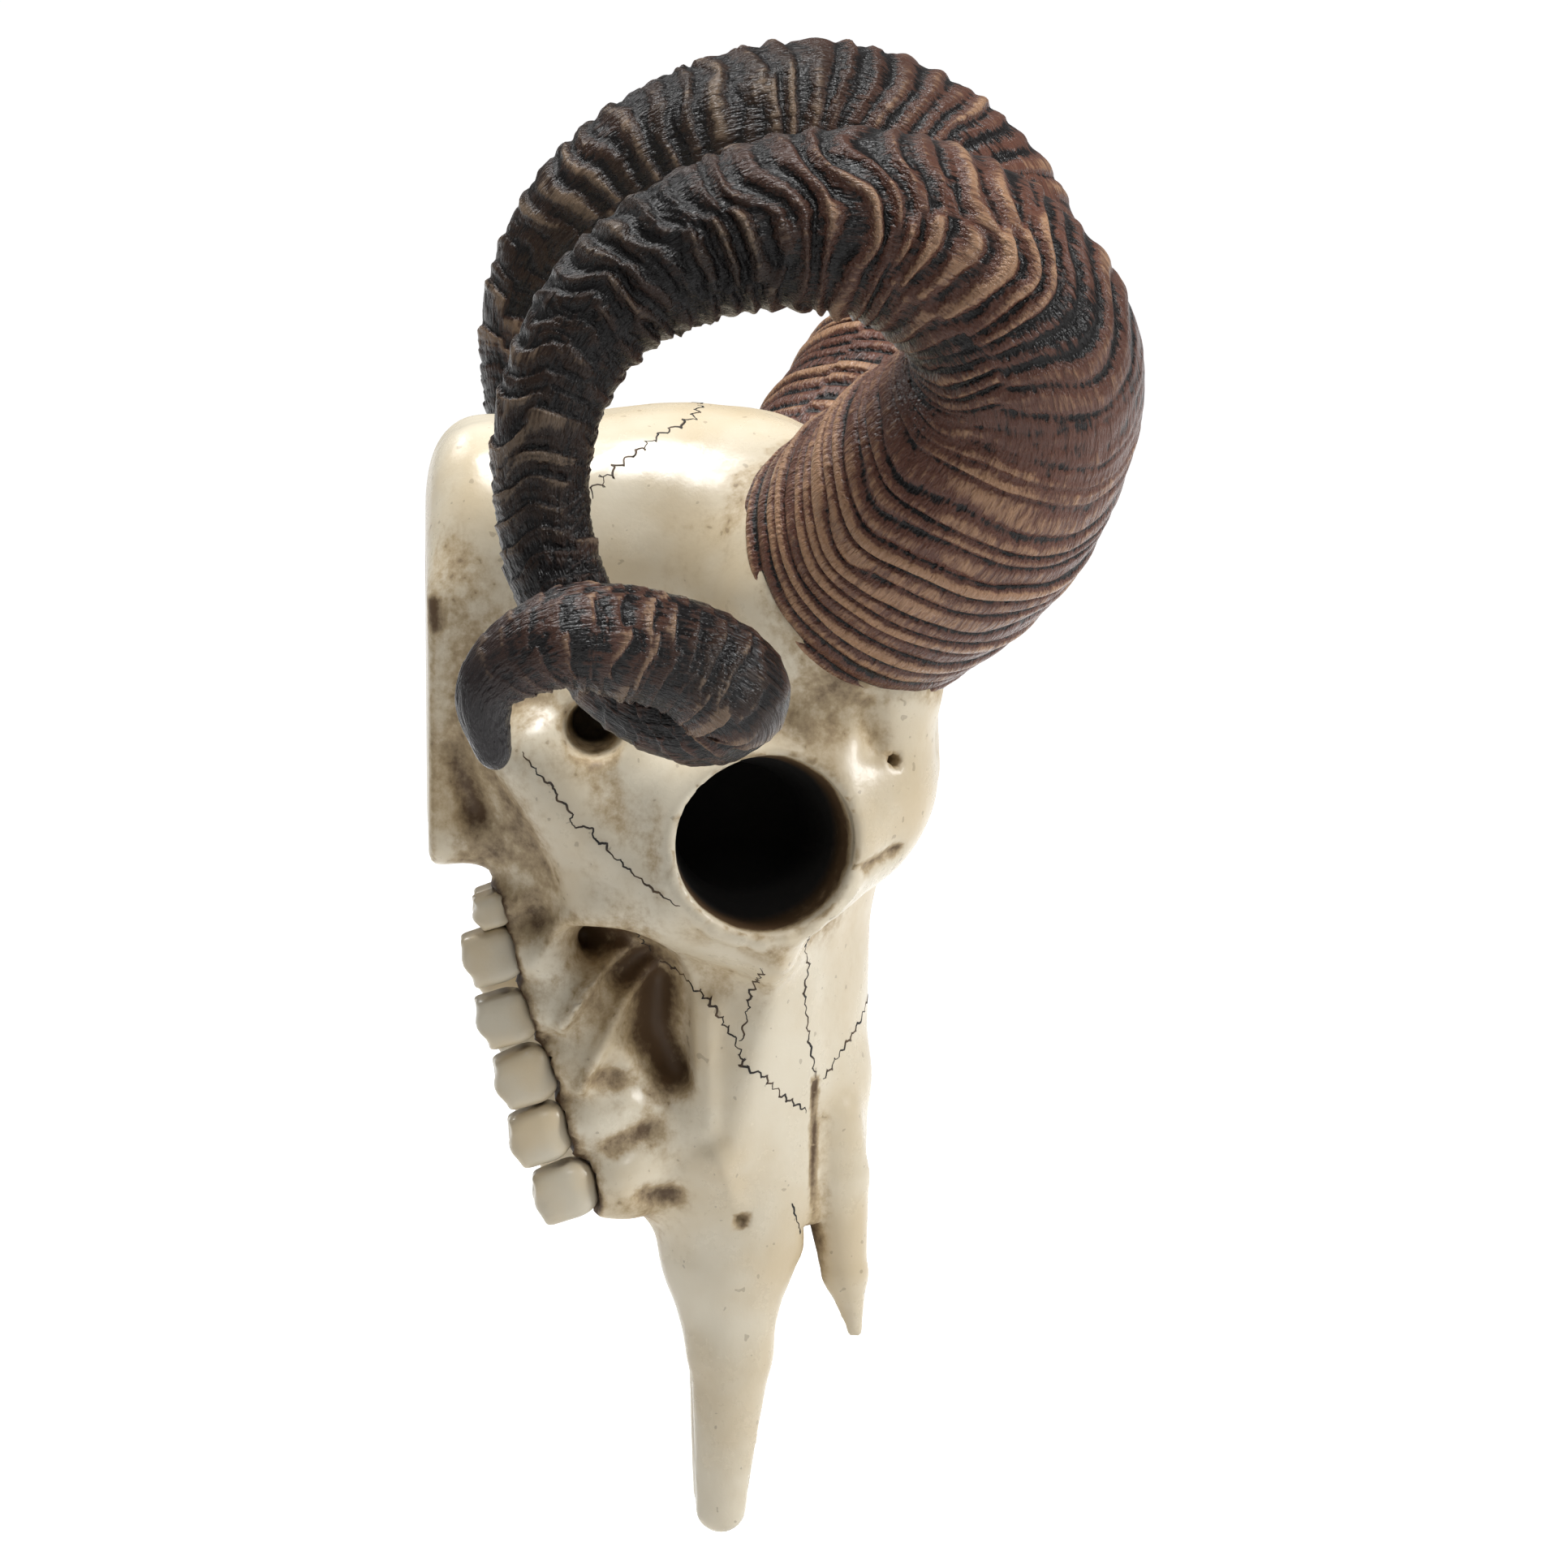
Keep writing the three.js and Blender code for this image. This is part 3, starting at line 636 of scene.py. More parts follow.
def bone_finish(look):
    """Varnished ivory resin: honey and brown washes of stain and painted shade gather in the hollows and
    round the horns, and painted shade darkens the sockets. The attributes for stain and painted shade and
    for the sockets' painted shade come with the mesh."""
    f = Finish("varnished_bone")
    cloud = f.noise(26, 4, 0.55)
    fine = f.noise(170, 4, 0.6)
    flecks = f.noise(420, 4, 0.65)
    streak = f.noise(60, 3, 0.6, stretch=(1, 1, 0.22))
    base = f.mix(f.span(cloud, 0.35, 0.7), (*look.light, 1), (*look.honey, 1))
    # stain and painted shade from the mesh, brown where it is high
    given = f.attribute("stain_and_shade")
    broken = f.total(f.swing(flecks, 0.9), f.swing(streak, 1.0), f.swing(fine, 0.5))
    share = f.span(given, 0.0, 0.35, 0.25, 1.0)
    stain_and_shade = f.total(given, f.math("MULTIPLY", broken, share))
    base = f.mix(f.span(stain_and_shade, 0.12, 0.6, 0, 0.8), base, (*look.wash_and_shade, 1))
    base = f.mix(f.span(stain_and_shade, 0.4, 1.1), base, (*look.brown, 1))
    specks = f.math("GREATER_THAN", f.noise(420, 1, 0.4), 0.74)
    base = f.mix(f.math("MULTIPLY", specks, 0.3), base, (*look.brown, 1))
    # painted shade inside the orbits and the ears, near black
    base = f.mix(f.attribute("socket_depth_shade"), base, (*look.socket_shade_and_suture, 1))
    rough = f.span(f.total(f.math("MULTIPLY", cloud, 0.5), stain_and_shade), 0.2, 0.9, look.gloss, 0.6)
    rough = f.math("MAXIMUM", rough, f.attribute("socket_depth_shade"))
    normal = f.bump(fine, 0.00035, 0.35)
    normal = f.bump(f.noise(700, 2, 0.5), 0.00012, 0.3, normal)
    return f.wear(Base_Color=base, Roughness=rough, Normal=normal)


def tooth_finish(look):
    """Old enamel: paler along the biting edge, with brown stain and painted shade towards the gum, and
    painted shade where crowns meet and in the notch.
    """
    f = Finish("old_enamel")
    fine = f.noise(260, 4, 0.6)
    base = f.mix(f.span(f.noise(60, 3), 0.35, 0.7), (*look.enamel, 1), (*look.honey, 1))
    # the mesh's stain and painted shade turn the enamel brown
    stain_and_shade = f.total(f.attribute("stain_and_shade"), f.swing(fine, 0.5))
    base = f.mix(f.span(stain_and_shade, 0.3, 0.9, 0, 0.9), base, (*look.brown, 1))
    return f.wear(Base_Color=base, Roughness=0.34, Normal=f.bump(fine, 0.0003, 0.4), Coat_Weight=0.15)


def suture_finish(look):
    """The dark paint that lies in the sutures."""
    f = Finish("suture_paint")
    base = f.mix(f.span(f.noise(240, 2), 0.35, 0.75), (*look.socket_shade_and_suture, 1), (*look.brown, 1))
    return f.wear(Base_Color=base, Roughness=0.55)


def horn_finish(look):
    """Painted horn: dark in the grooves, reddish brown between them, and tan rubbed on the crests in
    short lengthwise flecks. The attributes crest, warm, tip and grain come with the mesh."""
    f = Finish("painted_horn")
    crest = f.attribute("crest")
    warm = f.attribute("warm")
    grain = f.attribute("grain", "Vector")
    fibre = f.noise(1.0, 3, 0.55, stretch=(1100, 1100, 250), vector=grain)
    coarse = f.noise(1.0, 4, 0.6, stretch=(400, 400, 100), vector=grain)
    pits = f.noise(480, 2, 0.5)
    patch = f.noise(38, 3, 0.5)
    body = f.mix(warm, (*look.umber, 1), (*look.russet, 1))
    crest_colour = f.mix(warm, (*look.drab, 1), (*look.tan, 1))
    less = f.math("MULTIPLY", f.math("SUBTRACT", warm, 1.0), 0.12)
    level = f.total(crest, f.swing(fibre, 1.2), f.swing(patch, 1.5), f.swing(coarse, 1.1), less)
    base = f.mix(f.span(level, 0.12, 0.5), (*look.soot, 1), body)
    base = f.mix(f.span(level, 0.7, 1.35, 0, 0.9), base, crest_colour)
    groove = f.total(crest, f.swing(fibre, 0.5))
    base = f.mix(f.span(groove, 0.02, 0.3, 0.9, 0), base, (*look.soot, 1))
    base = f.mix(f.attribute("tip"), base, (*look.slate, 1))
    rough = f.span(fibre, 0.3, 0.7, 0.18, 0.36)
    normal = f.bump(coarse, 0.0015, 0.8)
    normal = f.bump(fibre, 0.0009, 0.9, normal)
    normal = f.bump(pits, 0.0002, 0.5, normal)
    return f.wear(Base_Color=base, Roughness=rough, Normal=normal, Specular_IOR_Level=0.3)


# ---------------------------------------------------------------- horns


def horn_line(count):
    """The horn's middle line as evenly spaced points: the length along it, the place and the half
    thickness, from a uniform Catmull-Rom curve through the stations. Then two unit vectors across the
    line, carried along it without twist from the top of the arch, where the first points away from the
    middle of the bend, and the bend in those two directions."""
    nodes = np.array(HORN, float)
    nodes = np.vstack([2 * nodes[0] - nodes[1], nodes, 2 * nodes[-1] - nodes[-2]])
    t = np.linspace(0, len(HORN) - 1, LINE_SAMPLES)
    i = np.clip(t.astype(int), 0, len(HORN) - 2)
    u = (t - i)[:, None]
    p0, p1, p2, p3 = nodes[i], nodes[i + 1], nodes[i + 2], nodes[i + 3]
    curve = 2 * p1 + (p2 - p0) * u + (2 * p0 - 5 * p1 + 4 * p2 - p3) * u ** 2
    curve = 0.5 * (curve + (3 * p1 - p0 - 3 * p2 + p3) * u ** 3)
    length = np.concatenate([[0], np.cumsum(np.linalg.norm(np.diff(curve[:, :3], axis=0), axis=1))])
    s = np.linspace(0, length[-1], count)
    place = np.stack([np.interp(s, length, curve[:, k]) for k in range(3)], 1)
    girth = np.interp(s, length, curve[:, 3])
    along = np.gradient(place, s, axis=0)
    along /= np.linalg.norm(along, axis=1)[:, None]
    bend = np.gradient(along, s, axis=0)
    outer = np.empty_like(place)
    top = np.searchsorted(s, ARCH_TOP)
    outer[top] = -bend[top]
    for order in (range(top, count), range(top, -1, -1)):
        last = outer[top]
        for k in order:
            last = last - (last @ along[k]) * along[k]
            last = outer[k] = last / np.linalg.norm(last)
    across = np.cross(along, outer)
    bend = np.stack([(bend * outer).sum(1), (bend * across).sum(1)], 1)
    return s, place, girth, outer, across, bend


def patches(rng, s, angle, length, around):
    """Smooth seeded noise, about -1 to 1: random values on a grid along and around the horn, with eased
    steps between them."""
    i, j = s / length, np.mod(angle / (2 * math.pi), 1) * around
    i, j = np.broadcast_arrays(i, j)
    table = rng.uniform(-1, 1, (int(i.max()) + 3, around))
    row, column = i.astype(int), j.astype(int)
    u, v = i - row, j - column
    u, v = u * u * (3 - 2 * u), v * v * (3 - 2 * v)
    column, beside = column % around, (column + 1) % around
    near = table[row, column] * (1 - v) + table[row, beside] * v
    far = table[row + 1, column] * (1 - v) + table[row + 1, beside] * v
    return near * (1 - u) + far * u


def ring_profile(rings, kind, heights, groove=0.12):
    """The height of ringed horn, about 0 to 1, where the rings are counted by a number. Broad bands with
    a narrow groove where kind is 0, narrow rounded folds where it is 1 and overlapping lips where it is
    2."""
    index = np.floor(rings).astype(int)
    part = rings - index
    this, following = heights[index + RINGS_BEFORE], heights[index + RINGS_BEFORE + 1]
    height = this * (1 - step(part, 0.7, 1)) + following * step(part, 0.7, 1)
    edge = np.minimum(part, 1 - part)
    band = (1 - np.exp(-(edge / groove) ** 2)) * (1 - 0.35 * (2 * part - 1) ** 2)
    folded = (0.5 - 0.5 * np.cos(2 * math.pi * part ** 0.75)) ** 1.4
    lipped = step(part, 0.0, 0.14) * (1 - 0.8 * np.clip((part - 0.14) / 0.86, 0, 1) ** 0.7)
    shares = [np.clip(1 - np.abs(kind - k), 0, 1) for k in range(3)]
    return (band * shares[0] + folded * shares[1] + lipped * shares[2]) * height


def turned(angle, start):
    """Angles as turns from a start, between -pi and pi."""
    return np.arctan2(np.sin(angle - start), np.cos(angle - start))


def horn_rows(rows, rng):
    """What the horn's surface needs at each of its rows, as columns: the length s from the foot, place,
    frame, girth and bend, and the spacing of its rings and their uneven count. Rows stand closest at
    both ends."""
    s, place, girth, outer, across, bend = horn_line(LINE_SAMPLES // 2)
    total = s[-1]
    spacing = 5.0 + 1.4 * step(s, 95, 170) - 0.9 * step(s, 300, 370)  # wider past the arch, then closer
    count = np.concatenate([[0], np.cumsum(np.diff(s) / spacing[1:])])
    knots = np.arange(int(count[-1]) + 2)
    count = count + np.interp(count, knots, rng.uniform(-0.3, 0.3, len(knots)))
    pace = np.cumsum(1 / (0.8 + spacing / 12) + 4 * (s < 3) + 4 * (s > total - 3))
    pace = (pace - pace[0]) / (pace[-1] - pace[0])
    rows_at = np.interp(np.linspace(0, 1, rows), pace, s)

    def pick(values):
        """Values along the line brought to the rows."""
        return np.stack([np.interp(rows_at, s, column) for column in np.atleast_2d(values.T)], -1)

    return SimpleNamespace(
        s=rows_at[:, None], total=total, place=pick(place), outer=pick(outer), across=pick(across),
        girth=pick(girth), bend=pick(bend), spacing=pick(spacing), count=pick(count),
    )


def ring_shift(row, angle, rng):
    """How far the rings are shifted along the horn, in millimetres: back on both sides of the keel, on
    at the crease inside the arch, and to and fro by seeded patches."""
    from_keel = turned(angle, KEEL)
    back = (1 - np.exp(-(from_keel / 0.6) ** 2)) * np.where(from_keel > 0, 7.0, 2.5)
    back = back * (0.25 + 0.75 * step(row.s, 60, 130)) * (row.girth / 23)
    fold = 4.5 * np.exp(-(turned(angle, CREASE) / 0.35) ** 2)
    fold = fold * step(row.s, 8, 40) * (1 - step(row.s, 80, 120))
    shift = fold - back
    wild = np.minimum(1, 0.45 + row.s / 200) - 0.45 * step(row.s, 180, 240)
    for length, around, size in ((34, 5, 3.0), (15, 9, 2.0), (7, 18, 0.8), (3, 40, 0.25)):
        shift = shift + patches(rng, row.s, angle, length, around) * size * wild
    return shift


def ring_crest(row, angle, rng):
    """The height of the horn's rings, about 0 to 1. Bands turn to folds up the arch and to lips down its
    far side. Two sets of rings take turns in patches, so that rings fork and meet, and finer rings lie
    over them."""
    rings = row.count + ring_shift(row, angle, rng) / row.spacing
    kind = step(row.s, 85, 150) + step(row.s, 190, 260)
    groove = 0.17 + 0.08 * patches(rng, row.s, angle, 9, 4)
    heights = rng.uniform(0.45, 1.25, RING_HEIGHTS)
    turn = step(patches(rng, row.s, angle, 22, 6), -0.15, 0.15)
    turn = np.maximum(turn, 1 - step(row.s, 60, 110))
    split = 0.5 + 0.35 * patches(rng, row.s, angle, 20, 7)
    crest = ring_profile(rings, kind, heights, groove) * turn
    crest = crest + ring_profile(rings + split, kind, heights[::-1], groove) * (1 - turn)
    crest = crest * (1 + 0.35 * patches(rng, row.s, angle, 11, 8))
    fine = ring_profile(2.3 * rings + 1.2 * patches(rng, row.s, angle, 9, 12), kind, heights)
    return crest + 0.22 * fine * (0.5 + 0.5 * kind)


def horn_radius(row, angle, rng):
    """The horn's radius without its rings: its girth, with a lip at the foot, a low keel and slow waves.
    Inside a tight bend it stops short of the bend's middle, which leaves a crease."""
    lip = 0.93 + 0.07 * np.sqrt(np.clip(row.s / 5, 0, 1))
    keel = np.exp(-(turned(angle, KEEL) / 0.42) ** 2) * step(row.s, 70, 140) * (1 - step(row.s, 300, 380))
    waves = 1 + 0.03 * patches(rng, row.s, angle, 45, 5)
    radius = row.girth * lip * (1 + 0.05 * keel) * waves * INSET
    bend = row.bend[:, :1] * np.cos(angle) + row.bend[:, 1:] * np.sin(angle)
    return join(radius, 0.93 / np.maximum(bend, 1e-4), 3.0)


def horn_paint(row, angle, radius, crest, faded, rng):
    """What the horn's finish reads at each vertex: the crests to rub tan, how warm the colour is, how
    near the tip is, and the place in the straightened horn, for grain that runs along it."""
    s, total = row.s, row.total
    tone = 1 - step(s, 90, 185) + 0.2 * step(s, 300, 345) + 0.3 * patches(rng, s, angle, 25, 5)
    plain = 0.75 * (1 - step(s, 3, 13))  # little paint in the grooves next to the bone
    sharp = step(s, 190, 250)  # paint only along the lips
    painted = crest * (1 - sharp) + 1.3 * np.clip(crest, 0, 2) ** 1.7 * sharp
    painted = painted * faded * (1 - plain)
    ones = np.ones_like(radius)
    return {
        "crest": np.clip(painted + 0.4 * (1 - faded) + 0.5 * plain, 0, 1.6) * ones,
        "warm": np.clip(tone * ones, 0, 1),
        "tip": step(s, total - 42, total - 12) * ones,
        "grain": np.stack([radius * np.cos(angle), radius * np.sin(angle), s * ones], -1) * MM,
    }


def horn_surface(sizes):
    """The horn's surface over the length s from its foot and an angle round it, at
    line(s) + radius(s, angle) (cos(angle) outer + sin(angle) across), and what its finish reads there."""
    rng = np.random.default_rng(SEEDS["horns"])
    row = horn_rows(sizes.rows, rng)
    s, total = row.s, row.total
    angle = np.linspace(0, 2 * math.pi, sizes.columns, endpoint=False)[None]
    crest = ring_crest(row, angle, rng)
    faded = 1 - 0.9 * step(s, total - 40, total - 14)
    depth = sizes.ring_depth * (0.62 + 0.38 * step(s, 95, 160) - 0.38 * step(s, 190, 270))
    deep = 0.68 + 0.32 * np.cos(angle + 0.9) * step(s, 90, 130)
    deep = deep * step(s, 2, 14)
    rise = depth * faded * deep * (crest - 0.6)
    lumps = patches(rng, s, angle, 5, 20) * 0.22 + patches(rng, s, angle, 2.5, 40) * 0.12
    radius = horn_radius(row, angle, rng) + rise + lumps * (0.4 + 0.6 * faded)
    tip = np.sqrt(np.clip(1 - ((s - total + ROUND_TIP) / ROUND_TIP).clip(0, 1) ** 2, 0.0, 1))
    foot = np.clip(s / 2.5, 0.02, 1) ** 0.5
    radius = radius * np.maximum(tip, 0.02) * foot
    out = np.cos(angle)[..., None] * row.outer[:, None] + np.sin(angle)[..., None] * row.across[:, None]
    points = row.place[:, None] + radius[..., None] * out
    return points, horn_paint(row, angle, radius, crest, faded, rng)


def closed_tube(points):
    """Quads over a grid of rows and columns that closes around, with the end rows filled to a point."""
    rows, columns = points.shape[:2]
    n = np.arange(rows * columns).reshape(rows, columns)
    beside = np.roll(n, -1, 1)
    quads = np.stack([n[:-1], beside[:-1], beside[1:], n[1:]], -1).reshape(-1, 4)
    first, last = rows * columns, rows * columns + 1
    caps = [np.stack([beside[0], n[0], np.full(columns, first)], 1)]
    caps.append(np.stack([n[-1], beside[-1], np.full(columns, last)], 1))
    places = np.vstack([points.reshape(-1, 3), points[0].mean(0), points[-1].mean(0)])
    return places, quads, np.vstack(caps)


def as_triangles(quads, more):
    """Quads and triangles together, all as triangles."""
    return np.vstack([quads[:, [0, 1, 2]], quads[:, [0, 2, 3]], more])


def with_ends(values):
    """A grid of values as one value per vertex of a closed tube."""
    flat = values.reshape(-1, *values.shape[2:])
    return np.concatenate([flat, values[0].mean(0)[None], values[-1].mean(0)[None]])


def joined(tubes):
    """Closed tubes as the places and the triangles of one mesh."""
    places, faces, first = [], [], 0
    for tube in tubes:
        flat, quads, caps = closed_tube(tube)
        places.append(flat)
        faces.append(as_triangles(quads, caps) + first)
        first += len(flat)
    return np.vstack(places), np.vstack(faces)


def facing_out(faces, sign):
    """Faces that look outwards on the right side, turned over for the left one."""
    return faces if sign < 0 else faces[:, ::-1]


# ---------------------------------------------------------------- sizes and colours that a user may change


class BoneLook(bpy.types.PropertyGroup):
    cell: FloatProperty(name="Mesh cell", description="Size of a mesh cell on the bone, in millimetres",
                        default=1.5, min=1.2, max=6)
    gloss: FloatProperty(name="Roughness", description="Roughness of the clean bone", default=0.26,
                         min=0, max=1, subtype="FACTOR")
    light: FloatVectorProperty(name="Ivory", description="Colour of the clean bone", subtype="COLOR",
                               default=(0.71, 0.64, 0.50), min=0, max=1)
    honey: FloatVectorProperty(name="Honey", description="Warmer colour of the bone", subtype="COLOR",
                               default=(0.62, 0.51, 0.34), min=0, max=1)
    # wash: stain and painted shade round the hollows
    wash_and_shade: FloatVectorProperty(name="Wash", description="Thin stain round the hollows", subtype="COLOR",
                              default=(0.40, 0.285, 0.145), min=0, max=1)
    # brown: stain and painted shade in the hollows, and also the specks and the suture paint
    brown: FloatVectorProperty(name="Brown", description="Deep stain in the hollows", subtype="COLOR",
                               default=(0.10, 0.056, 0.024), min=0, max=1)
    # dark: painted shade inside the sockets, and also the paint in the sutures
    socket_shade_and_suture: FloatVectorProperty(name="Dark", description="Inside of the sockets", subtype="COLOR",
                              default=(0.004, 0.003, 0.002), min=0, max=1)
    enamel: FloatVectorProperty(name="Enamel", description="Colour of the teeth", subtype="COLOR",
                                default=(0.60, 0.54, 0.42), min=0, max=1)


class SutureSizes(bpy.types.PropertyGroup):
    width: FloatProperty(name="Line width", description="Width of a suture line", default=0.65 * MM,
                         min=0.1 * MM, max=2 * MM, unit="LENGTH")
    wander: FloatProperty(name="Wander", description="How far a suture wanders from its course",
                          default=1.1 * MM, min=0, max=4 * MM, unit="LENGTH")


class HornLook(bpy.types.PropertyGroup):
    ring_depth: FloatProperty(name="Ring depth", description="Height of a ring, in millimetres",
                              default=2.5, min=0, max=5)
    rows: IntProperty(name="Rows", description="Mesh rows along the horn", default=940, min=60, max=960)
    columns: IntProperty(name="Columns", description="Mesh columns around the horn", default=104, min=16,
                         max=104)
    soot: FloatVectorProperty(name="Soot", description="Colour of the grooves", subtype="COLOR",
                              default=(0.006, 0.005, 0.005), min=0, max=1)
    umber: FloatVectorProperty(name="Umber", description="Colour of the middle of the horn",
                               subtype="COLOR", default=(0.022, 0.0125, 0.0085), min=0, max=1)
    russet: FloatVectorProperty(name="Russet", description="Colour of the horn near its foot",
                                subtype="COLOR", default=(0.125, 0.052, 0.035), min=0, max=1)
    tan: FloatVectorProperty(name="Tan", description="Crests near the foot", subtype="COLOR",
                             default=(0.41, 0.235, 0.135), min=0, max=1)
    drab: FloatVectorProperty(name="Drab", description="Crests on the rest of the horn", subtype="COLOR",
                              default=(0.145, 0.103, 0.070), min=0, max=1)
    slate: FloatVectorProperty(name="Slate", description="Colour of the tip", subtype="COLOR",
                               default=(0.026, 0.023, 0.024), min=0, max=1)


VIEW_PIXELS = 1932  # height of the square view
PIXELS_PER_MM = 5.17  # at the middle of the view


class StageSizes(bpy.types.PropertyGroup):
    floor_level: FloatProperty(name="Floor level", description="Height of the floor", default=-0.42,
                               unit="LENGTH")
    floor_radius: FloatProperty(name="Floor radius", description="Radius of the floor", default=14,
                                unit="LENGTH")
    turn: FloatProperty(name="Camera turn", description="Camera's turn from square on to the side",
                        default=math.radians(-2.5), subtype="ANGLE")
    lift: FloatProperty(name="Camera lift", description="Camera's angle above the level",
                        default=math.radians(10), subtype="ANGLE")
    distance: FloatProperty(name="Camera distance", description="From the camera to the middle of the view",
                            default=2.3, unit="LENGTH")
    view_height: FloatProperty(name="View height", description="Height of the view at that distance",
                               default=VIEW_PIXELS / PIXELS_PER_MM * MM, unit="LENGTH")
    middle: FloatVectorProperty(name="Middle of the view", description="Place that the camera looks at",
                                default=(0, -0.085, -0.030), subtype="XYZ")
    world_light: FloatProperty(name="World light", description="Strength of the pale surroundings",
                               default=0.2, min=0)


# ---------------------------------------------------------------- sutures

# each suture's course, as (fore, up) on the side of the skull or (side, fore, up), the share of the
# wander that it takes, and the length of its zigzag
SUTURES = {
    "cheek": ([(21, -11.5), (24.3, -15.8), (26.5, -18.6), (29.4, -20.6), (29.6, -23.2), (31.4, -24.5),
               (33.3, -26.6), (32.9, -29.4), (35.3, -30.1), (37.9, -29.9), (38.4, -33.2), (41, -33.8),
               (42, -36.4), (44.4, -37.9), (46.7, -40.2), (49.1, -42.1), (51.5, -44), (54.4, -45.9),
               (56.7, -47.5), (60, -48.5)], 0.35, 2.6),
    "jaw": ([(41.4, -54.5), (45, -57), (49.5, -60.5), (52, -64), (56, -67.5), (61, -71), (65.4, -74.5),
             (70, -82), (72.9, -86.7), (73.7, -91), (79, -94), (82, -98.4), (91, -106.6)], 0.8, 3.0),
    "branch": ([(78, -64.5), (75.4, -72.6), (74.2, -80.5), (73, -86)], 0.7, 3.4),
    "tear": ([(89, -56), (88.4, -62), (89.6, -68), (88.4, -74), (89.8, -87), (91.2, -98.5)], 0.55, 3.4),
    "brow": ([(0, 105, -81), (5, 104.6, -83), (10.5, 101.5, -87.5), (15, 98, -92), (20, 92.8, -98.5)],
             0.8, 3.4),
    "crack": ([(85.9, -126.7), (86.6, -130), (88.2, -136)], 0.15, 3.0),
    "crown": ([(33.5, 37.5, 44.5), (29.7, 42.7, 50.7), (26.4, 47, 54.4), (21.6, 53.6, 58.5),
               (12.9, 63.2, 62.8), (0, 66, 63)], 1.3, 4.2),
}
SUTURE_STEP = 0.35  # millimetres between the points of a suture


def onto_side(places, rounds=80):
    """(fore, up) places brought onto the bone from outside, by steps of the distance; others kept."""
    points = np.array([place if len(place) == 3 else (70, *place) for place in places], float)
    for _ in range(rounds if len(places[0]) == 2 else 0):
        points[:, 0] -= np.clip(bone(at(points)), -5, 8) * 0.7
    return points


def spread(points, spacing):
    """Points at an even spacing along a line through the given ones, its corners rounded."""
    length = np.concatenate([[0], np.cumsum(np.linalg.norm(np.diff(points, axis=0), axis=1))])
    s = np.linspace(0, length[-1], int(length[-1] / spacing) + 1)
    even = np.stack([np.interp(s, length, points[:, k]) for k in range(3)], 1)
    kernel = np.hanning(9) / np.hanning(9).sum()
    padded = np.pad(even, ((4, 4), (0, 0)), mode="reflect", reflect_type="odd")
    return np.stack([np.convolve(padded[:, k], kernel, "valid") for k in range(3)], 1), s


def unit(vectors):
    """Vectors brought to length 1."""
    return vectors / (np.linalg.norm(vectors, axis=1)[:, None] + 1e-9)


def suture_line(places, wander, wave, seed):
    """A suture's points: its course through the given places, with a seeded zigzag across it that leans
    over at its turns, laid on the bone."""
    line, s = spread(onto_side(places), SUTURE_STEP)
    line = settle(line, 6)
    run = unit(np.gradient(line, axis=0))
    across = unit(np.cross(slope_of(line), run))
    rng = np.random.default_rng(seed)
    knots = np.arange(0, s[-1] + 2 * wave, wave / 2)
    phase = np.interp(s, knots, np.cumsum(rng.uniform(0.6, 1.4, len(knots))) * math.pi)
    size = np.interp(s, knots, rng.uniform(0.4, 1.15, len(knots))) * wander
    zigzag = (np.sin(phase) + 0.25 * np.sin(2.7 * phase + seed)) * size
    lean = np.sin(phase * 2 + 0.6) * size * 0.45
    return settle(line + zigzag[:, None] * across + lean[:, None] * run, 4)


def thread(points, radius, sides=6):
    """A round thread of uneven width along points: circles in the plane across the line, tapered at both
    ends and sunk a little into the bone."""
    along = unit(np.gradient(points, axis=0))
    normal = slope_of(points)
    normal = unit(normal - (normal * along).sum(1)[:, None] * along)
    across = np.cross(along, normal)
    share = np.linspace(0, 1, len(points))
    taper = np.sqrt(np.clip(np.minimum(share, 1 - share) * 12, 0.08, 1))
    uneven_width = 1 + 0.3 * np.sin(share * len(points) / 13) * np.sin(share * len(points) / 5 + 1)
    size = (radius * taper * uneven_width)[:, None, None]
    angle = np.linspace(0, 2 * math.pi, sides, endpoint=False)[None, :, None]
    centre = points - normal * radius * 0.55
    return centre[:, None] + size * (np.cos(angle) * across[:, None] + np.sin(angle) * normal[:, None])


# ---------------------------------------------------------------- stain and painted shade on the bone


def near_horn(points, reach=90):
    """How far points are from the surface of the horn's first length, which ends at reach."""
    s, place, girth, *_ = horn_line(300)
    foot = slice(0, np.searchsorted(s, reach), 3)
    gaps = [np.linalg.norm(points - centre, axis=1) - half for centre, half in zip(place[foot], girth[foot])]
    return np.min(gaps, axis=0)


